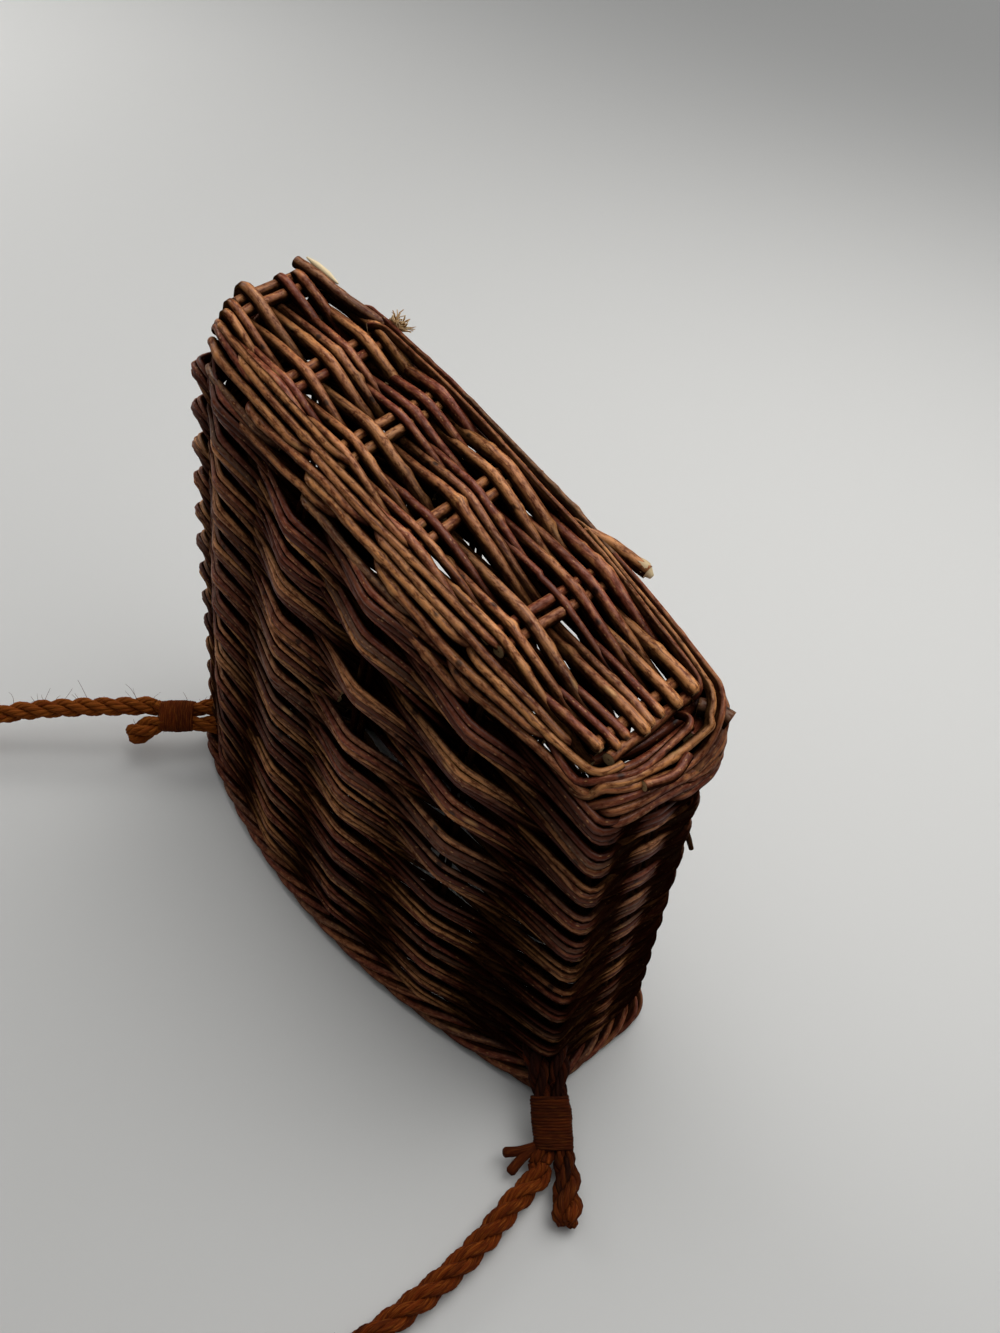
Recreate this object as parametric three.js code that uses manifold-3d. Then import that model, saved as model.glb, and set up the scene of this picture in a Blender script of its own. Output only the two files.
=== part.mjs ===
// A small willow basket bag that stands upside down on its mouth, with a rope strap on the floor.
// Millimetres, +Z up. The origin is on the floor under the middle of the mouth.
// X runs along the bag's long side, and -Y is the front wall, whose two corners hold the strap.

import * as THREE from 'three';
import { mergeVertices } from 'three/addons/utils/BufferGeometryUtils.js';
import { ParametricGeometry } from 'three/addons/geometries/ParametricGeometry.js';
import Module from 'manifold-3d';

const wasm = await Module();
wasm.setup();

// Driving dimensions of the bag
const mouth = { halfLength: 107, endHalfWidth: 26.4, bow: 19.3 };
const foot = { halfLength: 102.3, endHalfWidth: 25.6, bow: 6.9, shiftX: 3, shiftY: 2 };
const meanHeight = 176;          // floor to the top of the base, at its middle
const baseSlope = 25.75;         // the base's far end is this much higher, its near end lower
const lengthFlare = 1.18;        // how early the walls widen on their way down to the mouth
const bowFlare = 1.6;
const cornerRound = 12;          // length of wall that the rounding of a corner takes
const farFrontRound = 24;        // the same at the base's far front corner, where the rods cut across
const roundFade = 0.3;           // part of the way down over which that corner gets as sharp as the rest
const wallThickness = 7;
const ribDepth = 1.4;            // how far the wall draws in between two stakes
const shoulder = 3;              // inset of the wall's upper edge, where the stakes turn into the base
const clearance = 0.3;

const border = { height: 9, width: 9, proud: 1, edge: 2.2 };
const slot = { length: 5, height: 2.8, depth: 24 };

// Stakes stand at whole station numbers: corners at 0, 5, 7 and 12, the ends' middles at 6 and 13
const stationCount = 14;
const samplesPerStation = 5;
const sideStations = 5;

// The base's long rods and its six pairs of cross sticks
const weave = { rods: 9, rodWidth: 6.2, rodHeight: 3.2, quarterSteps: 22, endTrim: 1.2, cornerTrim: 9, farFrontTrim: 24 };
const stick = { pairs: 6, radius: 2.1, pairGap: 4.8, sides: 8, endPlay: 0.6, farFrontTrim: 7 };

// The rope and its bindings
const rope = { radius: 4, sides: 8, step: 11, endStep: 4 };
const passHalfGap = 5.6;         // from the middle of a corner to each of the two rope passes
const boundHalfGap = 4.25;       // the same inside the binding
const binding = { wall: 1.3, play: 0.6, sides: 20 };
const bindingCord = { radius: 1.7, sides: 8 };

const willow = { color: 0x5b3522, roughness: 0.55, metalness: 0 };
const stickWillow = { color: 0x8a5f33, roughness: 0.6, metalness: 0 };
const ropeFibre = { color: 0x8a4516, roughness: 0.9, metalness: 0 };

// Helpers

function blend(from, to, part, power) {
  return from + (to - from) * (1 - Math.pow(1 - part, power));
}

function closedGeometry(geometry) {
  geometry.deleteAttribute('normal');
  geometry.deleteAttribute('uv');
  return mergeVertices(geometry, 1e-3);
}

function solidOf(geometry) {
  const closed = closedGeometry(geometry);
  const vertProperties = new Float32Array(closed.attributes.position.array);
  const triVerts = new Uint32Array(closed.index.array);
  return new wasm.Manifold(new wasm.Mesh({ numProp: 3, vertProperties, triVerts }));
}

function geometryOf(solid) {
  const mesh = solid.getMesh();
  const geometry = new THREE.BufferGeometry();
  geometry.setAttribute('position', new THREE.BufferAttribute(mesh.vertProperties, 3));
  geometry.setIndex(new THREE.BufferAttribute(mesh.triVerts, 1));
  return geometry;
}

function namedMesh(name, geometry, finish) {
  const mesh = new THREE.Mesh(geometry, new THREE.MeshStandardMaterial(finish));
  mesh.name = name;
  return mesh;
}

function ellipseShape(halfWidth, halfHeight, sides) {
  const points = [];
  for (let i = 0; i < sides; i++) {
    const angle = (2 * Math.PI * i) / sides;
    points.push(new THREE.Vector2(halfWidth * Math.cos(angle), halfHeight * Math.sin(angle)));
  }
  return new THREE.Shape(points);
}

function sweep(shape, points, steps) {
  const extrudePath = new THREE.CatmullRomCurve3(points, false, 'centripetal');
  return closedGeometry(new THREE.ExtrudeGeometry(shape, { steps, extrudePath, bevelEnabled: false }));
}

// The bag's outline: a rectangle with bowed long sides, walked round by station number

function sharpPoint(station, halfLength, endHalfWidth, bow) {
  const s = ((station % stationCount) + stationCount) % stationCount;
  let across = -1;
  let along = -1 + (2 * s) / sideStations;
  if (s >= 12) {
    along = -1;
    across = 13 - s;
  } else if (s >= 7) {
    along = 1 - (2 * (s - 7)) / sideStations;
    across = 1;
  } else if (s >= 5) {
    along = 1;
    across = s - 6;
  }
  return new THREE.Vector2(halfLength * along, across * (endHalfWidth + bow * (1 - along * along)));
}

const corners = [
  { station: 0, longSideFirst: false, footRound: farFrontRound },
  { station: 5, longSideFirst: true, footRound: cornerRound },
  { station: 7, longSideFirst: false, footRound: cornerRound },
  { station: 12, longSideFirst: true, footRound: cornerRound },
];

function outlinePoint(station, fall, inset) {
  const halfLength = blend(foot.halfLength, mouth.halfLength, fall, lengthFlare) - inset;
  const endHalfWidth = blend(foot.endHalfWidth, mouth.endHalfWidth, fall, 1) - inset;
  const bow = blend(foot.bow, mouth.bow, fall, bowFlare);
  const fade = Math.pow(Math.max(0, 1 - fall / roundFade), 2);
  const at = (s) => sharpPoint(s, halfLength, endHalfWidth, bow);
  let point = at(station);
  for (const corner of corners) {
    const round = cornerRound + (corner.footRound - cornerRound) * fade - 0.8 * inset;
    const longReach = (round * sideStations) / (2 * halfLength);
    const endReach = round / endHalfWidth;
    const before = corner.longSideFirst ? longReach : endReach;
    const after = corner.longSideFirst ? endReach : longReach;
    const half = stationCount / 2;
    const offset = ((((station - corner.station + half) % stationCount) + stationCount) % stationCount) - half;
    if (offset > -before && offset < after) {
      const w = (offset + before) / (before + after);
      const arc = new THREE.QuadraticBezierCurve(
        at(corner.station - before), at(corner.station), at(corner.station + after));
      point = arc.getPoint(w);
    }
  }
  const along = THREE.MathUtils.clamp(point.x / halfLength, -1, 1);
  point.x += foot.shiftX * (1 - fall);
  point.y += foot.shiftY * (1 - fall);
  return { point, top: meanHeight - baseSlope * along };
}

// A point of the wall: rise is 0 on the border and 1 at the base
function wallPoint(station, rise, inset) {
  const bottom = border.height + clearance;
  let fall = 1 - rise;
  for (let i = 0; i < 2; i++) {
    const { top } = outlinePoint(station, fall, inset);
    fall = 1 - (bottom + rise * (top - bottom)) / top;
  }
  const { point, top } = outlinePoint(station, fall, inset);
  return new THREE.Vector3(point.x, point.y, bottom + rise * (top - bottom));
}

// Sweeps a closed section round the bag; the section's points come from loop(index, station)
function ring(loopLength, pointAt) {
  const slices = stationCount * samplesPerStation;
  const geometry = new ParametricGeometry((u, v, target) => {
    const index = v * loopLength;
    const low = Math.floor(index + 1e-6);
    const station = (u * stationCount) % stationCount;
    const first = pointAt(low % loopLength, station);
    const second = pointAt((low + 1) % loopLength, station);
    target.copy(first.lerp(second, Math.max(index - low, 0)));
  }, slices, loopLength);
  return geometry;
}

// Wall

function wallLoop() {
  const outerSteps = 7;
  const innerSteps = 5;
  const shoulderRise = 0.95;
  const rows = [];
  for (let i = 0; i < outerSteps; i++) {
    rows.push({ rise: (shoulderRise * i) / (outerSteps - 1), inset: 0, rib: 1 });
  }
  rows.push({ rise: 1, inset: shoulder, rib: 0 });
  for (let i = 0; i <= innerSteps; i++) {
    rows.push({ rise: 1 - i / innerSteps, inset: wallThickness, rib: 0 });
  }
  return rows;
}

function cornerFrame(corner) {
  const out = new THREE.Vector3(corner.outX, corner.outY, 0).normalize();
  const roll = THREE.MathUtils.degToRad(corner.roll);
  const side = new THREE.Vector3(-out.y, out.x, 0).multiplyScalar(corner.tailSide * Math.cos(roll));
  side.z = -Math.sin(roll);
  return { out, side, exit: new THREE.Vector3(corner.x, corner.y, corner.z) };
}

function inCorner(frame, along, across, drop) {
  return frame.exit.clone()
    .addScaledVector(frame.out, along)
    .addScaledVector(frame.side, across)
    .add(new THREE.Vector3(0, 0, -drop));
}

// The two front corners where the rope goes through the wall, and the way it leaves them
const ropeCorners = {
  near: { x: 103.5, y: -24.3, z: 18, outX: 0.82, outY: -0.572, tailSide: 1, roll: 0 },
  far: { x: -99.5, y: -27, z: 16.6, outX: -0.585, outY: -0.811, tailSide: 1, roll: 33 },
};

// Slots between the bands: every stake has a few, closer to the base where the weave is loose
const slotRows = [
  { rise: 0.82, shift: 0.2 },
  { rise: 0.7, shift: -0.2 },
  { rise: 0.58, shift: 0.2 },
  { rise: 0.44, shift: -0.2 },
];

function ropeHole(frame, across) {
  const length = 3 * wallThickness;
  const hole = new THREE.CylinderGeometry(rope.radius + 0.6, rope.radius + 0.6, length, 10);
  const turn = new THREE.Quaternion().setFromUnitVectors(new THREE.Vector3(0, 1, 0), frame.out);
  const place = inCorner(frame, -wallThickness / 2, across, 0);
  hole.applyMatrix4(new THREE.Matrix4().compose(place, turn, new THREE.Vector3(1, 1, 1)));
  return solidOf(hole);
}

function slotCut(station, rise) {
  const here = wallPoint(station, rise, wallThickness / 2);
  const ahead = wallPoint(station + 0.05, rise, wallThickness / 2);
  const cut = new THREE.BoxGeometry(slot.length, slot.depth, slot.height);
  cut.rotateZ(Math.atan2(ahead.y - here.y, ahead.x - here.x));
  cut.translate(here.x, here.y, here.z);
  return solidOf(cut);
}

function makeWall() {
  const rows = wallLoop();
  let solid = solidOf(ring(rows.length, (index, station) => {
    const row = rows[index];
    const rib = row.rib * ribDepth * 0.5 * (1 - Math.cos(2 * Math.PI * station));
    return wallPoint(station, row.rise, row.inset + rib);
  }));
  for (const corner of Object.values(ropeCorners)) {
    const frame = cornerFrame(corner);
    solid = solid.subtract(ropeHole(frame, passHalfGap)).subtract(ropeHole(frame, -passHalfGap));
  }
  for (let station = 0; station < stationCount; station++) {
    for (const row of slotRows) {
      solid = solid.subtract(slotCut(station + row.shift, row.rise));
    }
  }
  return namedMesh('wall', geometryOf(solid), willow);
}

// Border: a rolled edge with a flat underside

function makeBorder() {
  const { height, width, proud, edge } = border;
  const rows = [
    { inset: -proud, z: edge },
    { inset: -proud, z: height - edge },
    { inset: -proud + edge, z: height },
    { inset: width - proud - edge, z: height },
    { inset: width - proud, z: height - edge },
    { inset: width - proud, z: edge },
    { inset: width - proud - edge, z: 0 },
    { inset: -proud + edge, z: 0 },
  ];
  const geometry = closedGeometry(ring(rows.length, (index, station) => {
    const { point } = outlinePoint(station, 1, rows[index].inset);
    return new THREE.Vector3(point.x, point.y, rows[index].z);
  }));
  return namedMesh('border', geometry, willow);
}

// Base: long rods woven over and under the cross sticks, all in the base's own sloping frame

const baseTilt = Math.atan2(baseSlope, foot.halfLength);
const innerHalfLength = (foot.halfLength - wallThickness) / Math.cos(baseTilt) - 2 * clearance;
const stickSpacing = innerHalfLength / 2.75;
const weaveRise = stick.radius + weave.rodHeight / 2 + 0.4;
const weaveDepth = weaveRise + weave.rodHeight / 2;

function innerHalfWidth(x) {
  const along = x / innerHalfLength;
  return foot.endHalfWidth - wallThickness + foot.bow * (1 - along * along) - clearance;
}

function baseRod(index) {
  const share = -1 + (2 * index) / (weave.rods - 1);
  const outer = Math.abs(share) > 0.9;
  const reach = innerHalfLength - (outer ? weave.cornerTrim : weave.endTrim);
  const cutAcross = weave.farFrontTrim * Math.pow(Math.max(0, -1.5 * share - 0.5), 2);
  const farReach = Math.min(reach, innerHalfLength - weave.endTrim - cutAcross);
  const points = [];
  for (let quarter = 0; quarter <= weave.quarterSteps; quarter++) {
    const x = THREE.MathUtils.clamp((quarter / 4 - 2.75) * stickSpacing, -farReach, reach);
    const phase = Math.PI * (x / stickSpacing - 0.5 + index);
    const widthAt = Math.min(Math.abs(x) + stickSpacing / 4, innerHalfLength);
    const y = share * (innerHalfWidth(widthAt) - weave.rodWidth / 2);
    const point = new THREE.Vector3(x, y, weaveRise * Math.cos(phase));
    if (points.length > 0 && points[points.length - 1].x > x - 1) {
      points.pop();
    }
    points.push(point);
  }
  return sweep(ellipseShape(weave.rodWidth / 2, weave.rodHeight / 2, 6), points, points.length - 1);
}

function baseStick(pair, place) {
  const x = (pair - (stick.pairs - 1) / 2) * stickSpacing + (place * stick.pairGap) / 2;
  const frontTrim = pair === 0 ? stick.farFrontTrim : 0;
  const length = 2 * innerHalfWidth(Math.abs(x) + 2 * stick.radius) - stick.endPlay - frontTrim;
  const geometry = new THREE.CylinderGeometry(stick.radius, stick.radius, length, stick.sides);
  geometry.translate(x, frontTrim / 2, 0);
  return closedGeometry(geometry);
}

function makeBase() {
  const group = new THREE.Group();
  group.position.set(foot.shiftX, foot.shiftY, meanHeight - weaveDepth / Math.cos(baseTilt));
  group.rotation.y = baseTilt;
  let solid = solidOf(baseRod(0));
  for (let index = 1; index < weave.rods; index++) {
    solid = solid.add(solidOf(baseRod(index)));
  }
  group.add(namedMesh('base_weave', geometryOf(solid), willow));
  for (let pair = 0; pair < stick.pairs; pair++) {
    group.add(namedMesh(`base_stick_${pair + 1}a`, baseStick(pair, -1), stickWillow));
    group.add(namedMesh(`base_stick_${pair + 1}b`, baseStick(pair, 1), stickWillow));
  }
  return group;
}

// Rope strap: its route is chosen by hand, from the near corner round the front to the far corner

const strapRoute = [
  { x: 127.3, y: -58.5, z: 4.4 },
  { x: 129.8, y: -74, z: 4.3 },
  { x: 130.5, y: -97, z: 4.3 },
  { x: 126.5, y: -131, z: 4.3 },
  { x: 112, y: -166, z: 4.3 },
  { x: 86, y: -196, z: 4.3 },
  { x: 50, y: -218, z: 4.3 },
  { x: 8, y: -228, z: 4.3 },
  { x: -38, y: -226, z: 4.3 },
  { x: -82, y: -213, z: 4.3 },
  { x: -121, y: -189, z: 4.4 },
  { x: -147, y: -159, z: 5.2 },
  { x: -158, y: -131, z: 8 },
  { x: -156, y: -108, z: 12.5 },
  { x: -148.5, y: -90, z: 15.6 },
  { x: -137.4, y: -73.4, z: 17.7 },
  { x: -125.7, y: -57.2, z: 18.6 },
];

// A rope end's way, from its tail through the wall, round the corner stakes and out again:
// along is the way out of the corner, across is to the tail's side, drop is down from the exit
const nearTail = [
  { along: 47.5, across: 0.6, drop: 13.6 },
  { along: 40, across: 1.8, drop: 13.6 },
  { along: 32, across: 3.6, drop: 13.3 },
];
const nearBound = [
  { along: 24.6, across: boundHalfGap, drop: 11.6 },
  { along: 17.3, across: boundHalfGap, drop: 8.4 },
  { along: 10, across: boundHalfGap, drop: 5.2 },
  { along: 5, across: 5, drop: 2.2 },
];
const nearStart = [{ along: 28, across: -4.8, drop: 12.7 }];
const strapAtNear = [
  { along: 28.5, across: -4.88, drop: 12.85 },
  { along: 31, across: -5.28, drop: 13.6 },
];
const farTail = [
  { along: 32, across: 6.6, drop: 2.6 },
  { along: 26, across: 5.2, drop: 1.2 },
];
const farBound = [
  { along: 19.6, across: boundHalfGap, drop: 0 },
  { along: 12.5, across: boundHalfGap, drop: 0 },
  { along: 6, across: boundHalfGap + 0.1, drop: 0 },
];
const farStart = [{ along: 22, across: -boundHalfGap, drop: 0 }];
const strapAtFar = [
  { along: 26.5, across: -boundHalfGap, drop: 0 },
  { along: 22.4, across: -boundHalfGap, drop: 0 },
];
const innerTurn = [
  { along: 0, across: passHalfGap, drop: 0 },
  { along: -9, across: passHalfGap, drop: 0 },
  { along: -13.5, across: 4.3, drop: 0 },
  { along: -15.2, across: 0, drop: 0 },
];

const mirrored = (row) => ({ ...row, across: -row.across });

function ropeEndPoints(frame, tail, bound, start) {
  const wayIn = [...bound, ...innerTurn];
  const wayOut = wayIn.slice(0, -1).reverse().map(mirrored);
  return cornerPoints(frame, [...tail, ...wayIn, ...wayOut, ...start]);
}

function cornerPoints(frame, rows) {
  return rows.map((row) => inCorner(frame, row.along, row.across, row.drop));
}

function pathLength(points) {
  return new THREE.CatmullRomCurve3(points, false, 'centripetal').getLength();
}

function ropeTube(name, points, step) {
  const shape = ellipseShape(rope.radius, rope.radius, rope.sides);
  return namedMesh(name, sweep(shape, points, Math.round(pathLength(points) / step)), ropeFibre);
}

// A binding is an oval sleeve round the two passes of the rope
function ovalPath(path, halfGap, radius) {
  path.absarc(halfGap, 0, radius, -Math.PI / 2, Math.PI / 2, false);
  path.absarc(-halfGap, 0, radius, Math.PI / 2, (3 * Math.PI) / 2, false);
  path.closePath();
  return path;
}

function makeBinding(name, frame, first, last) {
  const from = inCorner(frame, first.along - 0.6, 0, first.drop);
  const to = inCorner(frame, last.along + 0.6, 0, last.drop);
  const inner = rope.radius + binding.play;
  const shape = ovalPath(new THREE.Shape(), boundHalfGap, inner + binding.wall);
  shape.holes.push(ovalPath(new THREE.Path(), boundHalfGap, inner));
  const depth = from.distanceTo(to);
  const geometry = new THREE.ExtrudeGeometry(
    shape, { depth, steps: 1, bevelEnabled: false, curveSegments: binding.sides / 2 });
  const axis = from.clone().sub(to).normalize();
  const up = new THREE.Vector3().crossVectors(axis, frame.side).normalize();
  const turn = new THREE.Matrix4().makeBasis(frame.side.clone().normalize(), up, axis);
  geometry.applyMatrix4(turn);
  geometry.translate(to.x, to.y, to.z);
  return namedMesh(name, closedGeometry(geometry), ropeFibre);
}

function makeRope() {
  const group = new THREE.Group();
  const near = cornerFrame(ropeCorners.near);
  const far = cornerFrame(ropeCorners.far);
  const onFloor = strapRoute.map((row) => new THREE.Vector3(row.x, row.y, row.z));
  const strap = [...cornerPoints(near, strapAtNear), ...onFloor, ...cornerPoints(far, strapAtFar)];
  group.add(ropeTube('rope_strap', strap, rope.step));
  group.add(ropeTube('rope_end_near', ropeEndPoints(near, nearTail, nearBound, nearStart), rope.endStep));
  group.add(ropeTube('rope_end_far', ropeEndPoints(far, farTail, farBound, farStart), rope.endStep));
  group.add(makeBinding('whipping_near', near, nearBound[2], nearBound[0]));
  group.add(makeBinding('whipping_far', far, farBound[2], farBound[0]));
  const cordEnd = [
    inCorner(near, 21, -boundHalfGap - rope.radius - 2.65, 10.3),
    inCorner(near, 22.6, -boundHalfGap - rope.radius - 7, 12),
    inCorner(near, 24.2, -boundHalfGap - rope.radius - 12.5, 14.2),
  ];
  const cordShape = ellipseShape(bindingCord.radius, bindingCord.radius, bindingCord.sides);
  group.add(namedMesh('binding_end_near', sweep(cordShape, cordEnd, 4), ropeFibre));
  return group;
}

const bag = new THREE.Group();
bag.add(makeWall());
bag.add(makeBorder());
bag.add(makeBase());
bag.add(makeRope());

export default bag;
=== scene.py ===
import math
import random

import bmesh
import bpy
import numpy as np
from mathutils import Matrix, Vector, noise


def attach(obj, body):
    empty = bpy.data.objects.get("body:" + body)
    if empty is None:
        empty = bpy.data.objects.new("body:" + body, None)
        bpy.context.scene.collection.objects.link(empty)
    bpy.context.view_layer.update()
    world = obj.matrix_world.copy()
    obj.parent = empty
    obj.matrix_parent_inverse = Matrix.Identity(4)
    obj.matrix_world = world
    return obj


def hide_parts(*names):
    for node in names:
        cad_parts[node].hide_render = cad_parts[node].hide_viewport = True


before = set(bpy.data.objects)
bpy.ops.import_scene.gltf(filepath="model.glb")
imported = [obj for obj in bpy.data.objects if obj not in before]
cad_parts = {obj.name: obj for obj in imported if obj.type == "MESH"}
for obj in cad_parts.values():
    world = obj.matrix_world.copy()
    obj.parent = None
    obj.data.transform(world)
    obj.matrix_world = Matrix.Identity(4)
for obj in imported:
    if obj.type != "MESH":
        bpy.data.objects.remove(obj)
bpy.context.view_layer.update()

mm = 0.001
print("frame loaded")

# Camera, at the photograph's angle
view = {
    "place": (216.47, -194.17, 360.04),
    "right": (0.66452, 0.74015, 0.10295),
    "up": (-0.54319, 0.38381, 0.74675),
    "back": (0.51319, -0.55215, 0.65709),
    "lens": 31.02, "sensor": 36, "nearest": 0.01,
}


def makeCamera():
    data = bpy.data.cameras.new("camera")
    data.lens = view["lens"]
    data.sensor_width = view["sensor"]
    data.clip_start = view["nearest"]
    camera = bpy.data.objects.new("camera", data)
    bpy.context.collection.objects.link(camera)
    turn = Matrix((view["right"], view["up"], view["back"])).transposed().to_4x4()
    camera.matrix_world = Matrix.Translation(Vector(view["place"]) * mm) @ turn
    bpy.context.scene.camera = camera


makeCamera()
print("camera set")

# The bag's shape, in millimetres: the values of its solids, with a sharper corner at the near front
bag = {
    "mouthLength": 107, "mouthWidth": 26.4, "mouthBow": 19.3,
    "footLength": 102.3, "footWidth": 25.6, "footBow": 6.9,
    "shiftX": 3, "shiftY": 2,
    "height": 176, "slope": 25.75,
    "lengthFlare": 1.18, "bowFlare": 1.6,
    "round": 12, "nearFrontRound": 3.5, "farFrontRound": 24, "leastRound": 1.5,
    "roundFade": 0.3, "roundLoss": 0.8,
    "middle": 3.5,      # depth of the wall's middle below its outside
    "weaveDepth": 5.7,  # depth of the base's middle below its outside
}
# stations count round the bag from its far front corner, 5 along a side and 2 along an end
lap = 14
cornerStations = ((0, False), (5, True), (7, False), (12, True))    # and whether the side comes first


def lerp(a, b, w):
    return a + (b - a) * w


def blend(a, b, part, power):
    return a + (b - a) * (1 - max(1 - part, 0) ** power) if part >= 0 else a


def between(x, places, values):
    return float(np.interp(x, places, values))


def wobble(x, seed):
    return noise.noise((x, seed * 7.31 + 0.37, seed * 1.93 - 4.1))


def softWave(cross, edge):
    # straight slopes with rounded turns
    return math.asin(edge * cross) / math.asin(edge)


def sharpPoint(station, length, width, bow):
    s = station % lap
    if s < 5:
        along, across = -1 + 2 * s / 5, -1
    elif s < 7:
        along, across = 1, s - 6
    elif s < 12:
        along, across = 1 - 2 * (s - 7) / 5, 1
    else:
        along, across = -1, 13 - s
    return length * along, across * (width + bow * (1 - along * along))


def outlinePoint(station, fall, inset):
    length = blend(bag["footLength"], bag["mouthLength"], fall, bag["lengthFlare"]) - inset
    width = blend(bag["footWidth"], bag["mouthWidth"], fall, 1) - inset
    bow = blend(bag["footBow"], bag["mouthBow"], fall, bag["bowFlare"])
    fade = max(0, 1 - max(fall, 0) / bag["roundFade"]) ** 2
    x, y = sharpPoint(station, length, width, bow)
    for corner, longFirst in cornerStations:
        foot = bag["farFrontRound"] if corner == 0 else bag["round"]
        rounding = lerp(bag["nearFrontRound"] if corner == 5 else bag["round"], foot, fade)
        rounding = max(bag["leastRound"], rounding - bag["roundLoss"] * inset)
        longReach = rounding * 5 / (2 * length)
        endReach = rounding / width
        before, after = (longReach, endReach) if longFirst else (endReach, longReach)
        offset = (station - corner + lap / 2) % lap - lap / 2
        if -before < offset < after:
            w = (offset + before) / (before + after)
            a = sharpPoint(corner - before, length, width, bow)
            b = sharpPoint(corner, length, width, bow)
            c = sharpPoint(corner + after, length, width, bow)
            x, y = (a[k] * (1 - w) ** 2 + 2 * b[k] * w * (1 - w) + c[k] * w * w for k in (0, 1))
    top = bag["height"] - bag["slope"] * max(-1, min(1, x / length))
    part = max(0, 1 - fall)
    return x + bag["shiftX"] * part, y + bag["shiftY"] * part, top


baseSlope = math.atan2(bag["slope"], bag["footLength"])
baseNormal = Vector((math.sin(baseSlope), 0, math.cos(baseSlope)))


def basePoint(x, y, lift):
    z = bag["height"] - bag["slope"] * x / bag["footLength"]
    top = Vector((x + bag["shiftX"], y + bag["shiftY"], z))
    return top + baseNormal * (lift - bag["weaveDepth"])


# Shader maths: a wrapped socket that takes operators, and one call for any other node
class Shade:
    def __init__(self, tree, socket):
        self.tree = tree
        self.socket = socket

    def fill(self, node, sockets):
        for name, value in sockets.items():
            if isinstance(value, Shade):
                self.tree.links.new(value.socket, node.inputs[name])
            else:
                node.inputs[name].default_value = value

    def node(self, kind, settings, sockets, output=0):
        made = self.tree.nodes.new(kind)
        for name, value in settings.items():
            setattr(made, name, value)
        self.fill(made, sockets)
        return Shade(self.tree, made.outputs[output])

    def math(self, operation, first, second, clamp=False):
        settings = {"operation": operation, "use_clamp": clamp}
        return self.node("ShaderNodeMath", settings, {0: first, 1: second})

    def mix(self, first, second, factor, blendType="MIX"):
        settings = {"data_type": "RGBA", "blend_type": blendType}
        return self.node("ShaderNodeMix", settings, {0: factor, 6: first, 7: second}, 2)

    def mark(self, name, output=2):
        # a value kept on the rods: output 1 gives a vector, 2 a number
        return self.node("ShaderNodeAttribute", {"attribute_name": name}, {}, output)

    def grain(self, kind, scale, sockets):
        # a texture read at this place, drawn out along the rods
        place = self.node("ShaderNodeMapping", {"vector_type": "POINT"}, {"Vector": self, "Scale": scale})
        return self.node(kind, {}, {"Vector": place, "Scale": 1.0, **sockets})

    def bump(self, strength, depth):
        return self.node("ShaderNodeBump", {}, {"Height": self, "Strength": strength, "Distance": depth})

    def ramp(self, low, high):
        return self.math("DIVIDE", self - low, high - low, True)

    def __add__(self, other):
        return self.math("ADD", self, other)

    def __radd__(self, other):
        return self.math("ADD", other, self)

    def __sub__(self, other):
        return self.math("SUBTRACT", self, other)

    def __rsub__(self, other):
        return self.math("SUBTRACT", other, self)

    def __mul__(self, other):
        return self.math("MULTIPLY", self, other)

    def __rmul__(self, other):
        return self.math("MULTIPLY", other, self)


def newMaterial(name):
    material = bpy.data.materials.new(name)
    material.use_nodes = True
    tree = material.node_tree
    return material, Shade(tree, None), tree.nodes["Principled BSDF"]


def rgb(r, g, b):
    return (r, g, b, 1.0)


# Willow bark: each rod has its own tint; its colour is painted lighter on the tops and outsides, as if lit
# from above, and painted in shade on the sides and where rods cross under others
bark = {
    "dark": rgb(0.062, 0.0145, 0.0065), "red": rgb(0.150, 0.036, 0.018), "tan": rgb(0.388, 0.166, 0.056),
    "grey": rgb(0.155, 0.088, 0.046), "scar": rgb(0.008, 0.004, 0.003), "knot": rgb(0.420, 0.220, 0.085),
    # the colour's multiplier: lowest on the sides and under crossings (painted shade), highest on the lit
    # tops (painted light)
    "paintedShade": 0.12, "paintedLight": 2.2, "roughness": 0.42, "specular": 0.0, "bump": 0.9, "bumpDepth": 0.0006,
    "polish": 0.6, "polishRoughness": 0.3,
    # texture scales, along the rod and twice across it
    "streaks": (60.0, 1000.0, 1000.0), "mottles": (330.0, 760.0, 760.0), "patches": (45.0, 160.0, 160.0),
    "pores": (360.0, 800.0, 800.0), "knots": (30.0, 80.0, 80.0), "scars": (90.0, 130.0, 130.0),
}


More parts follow.
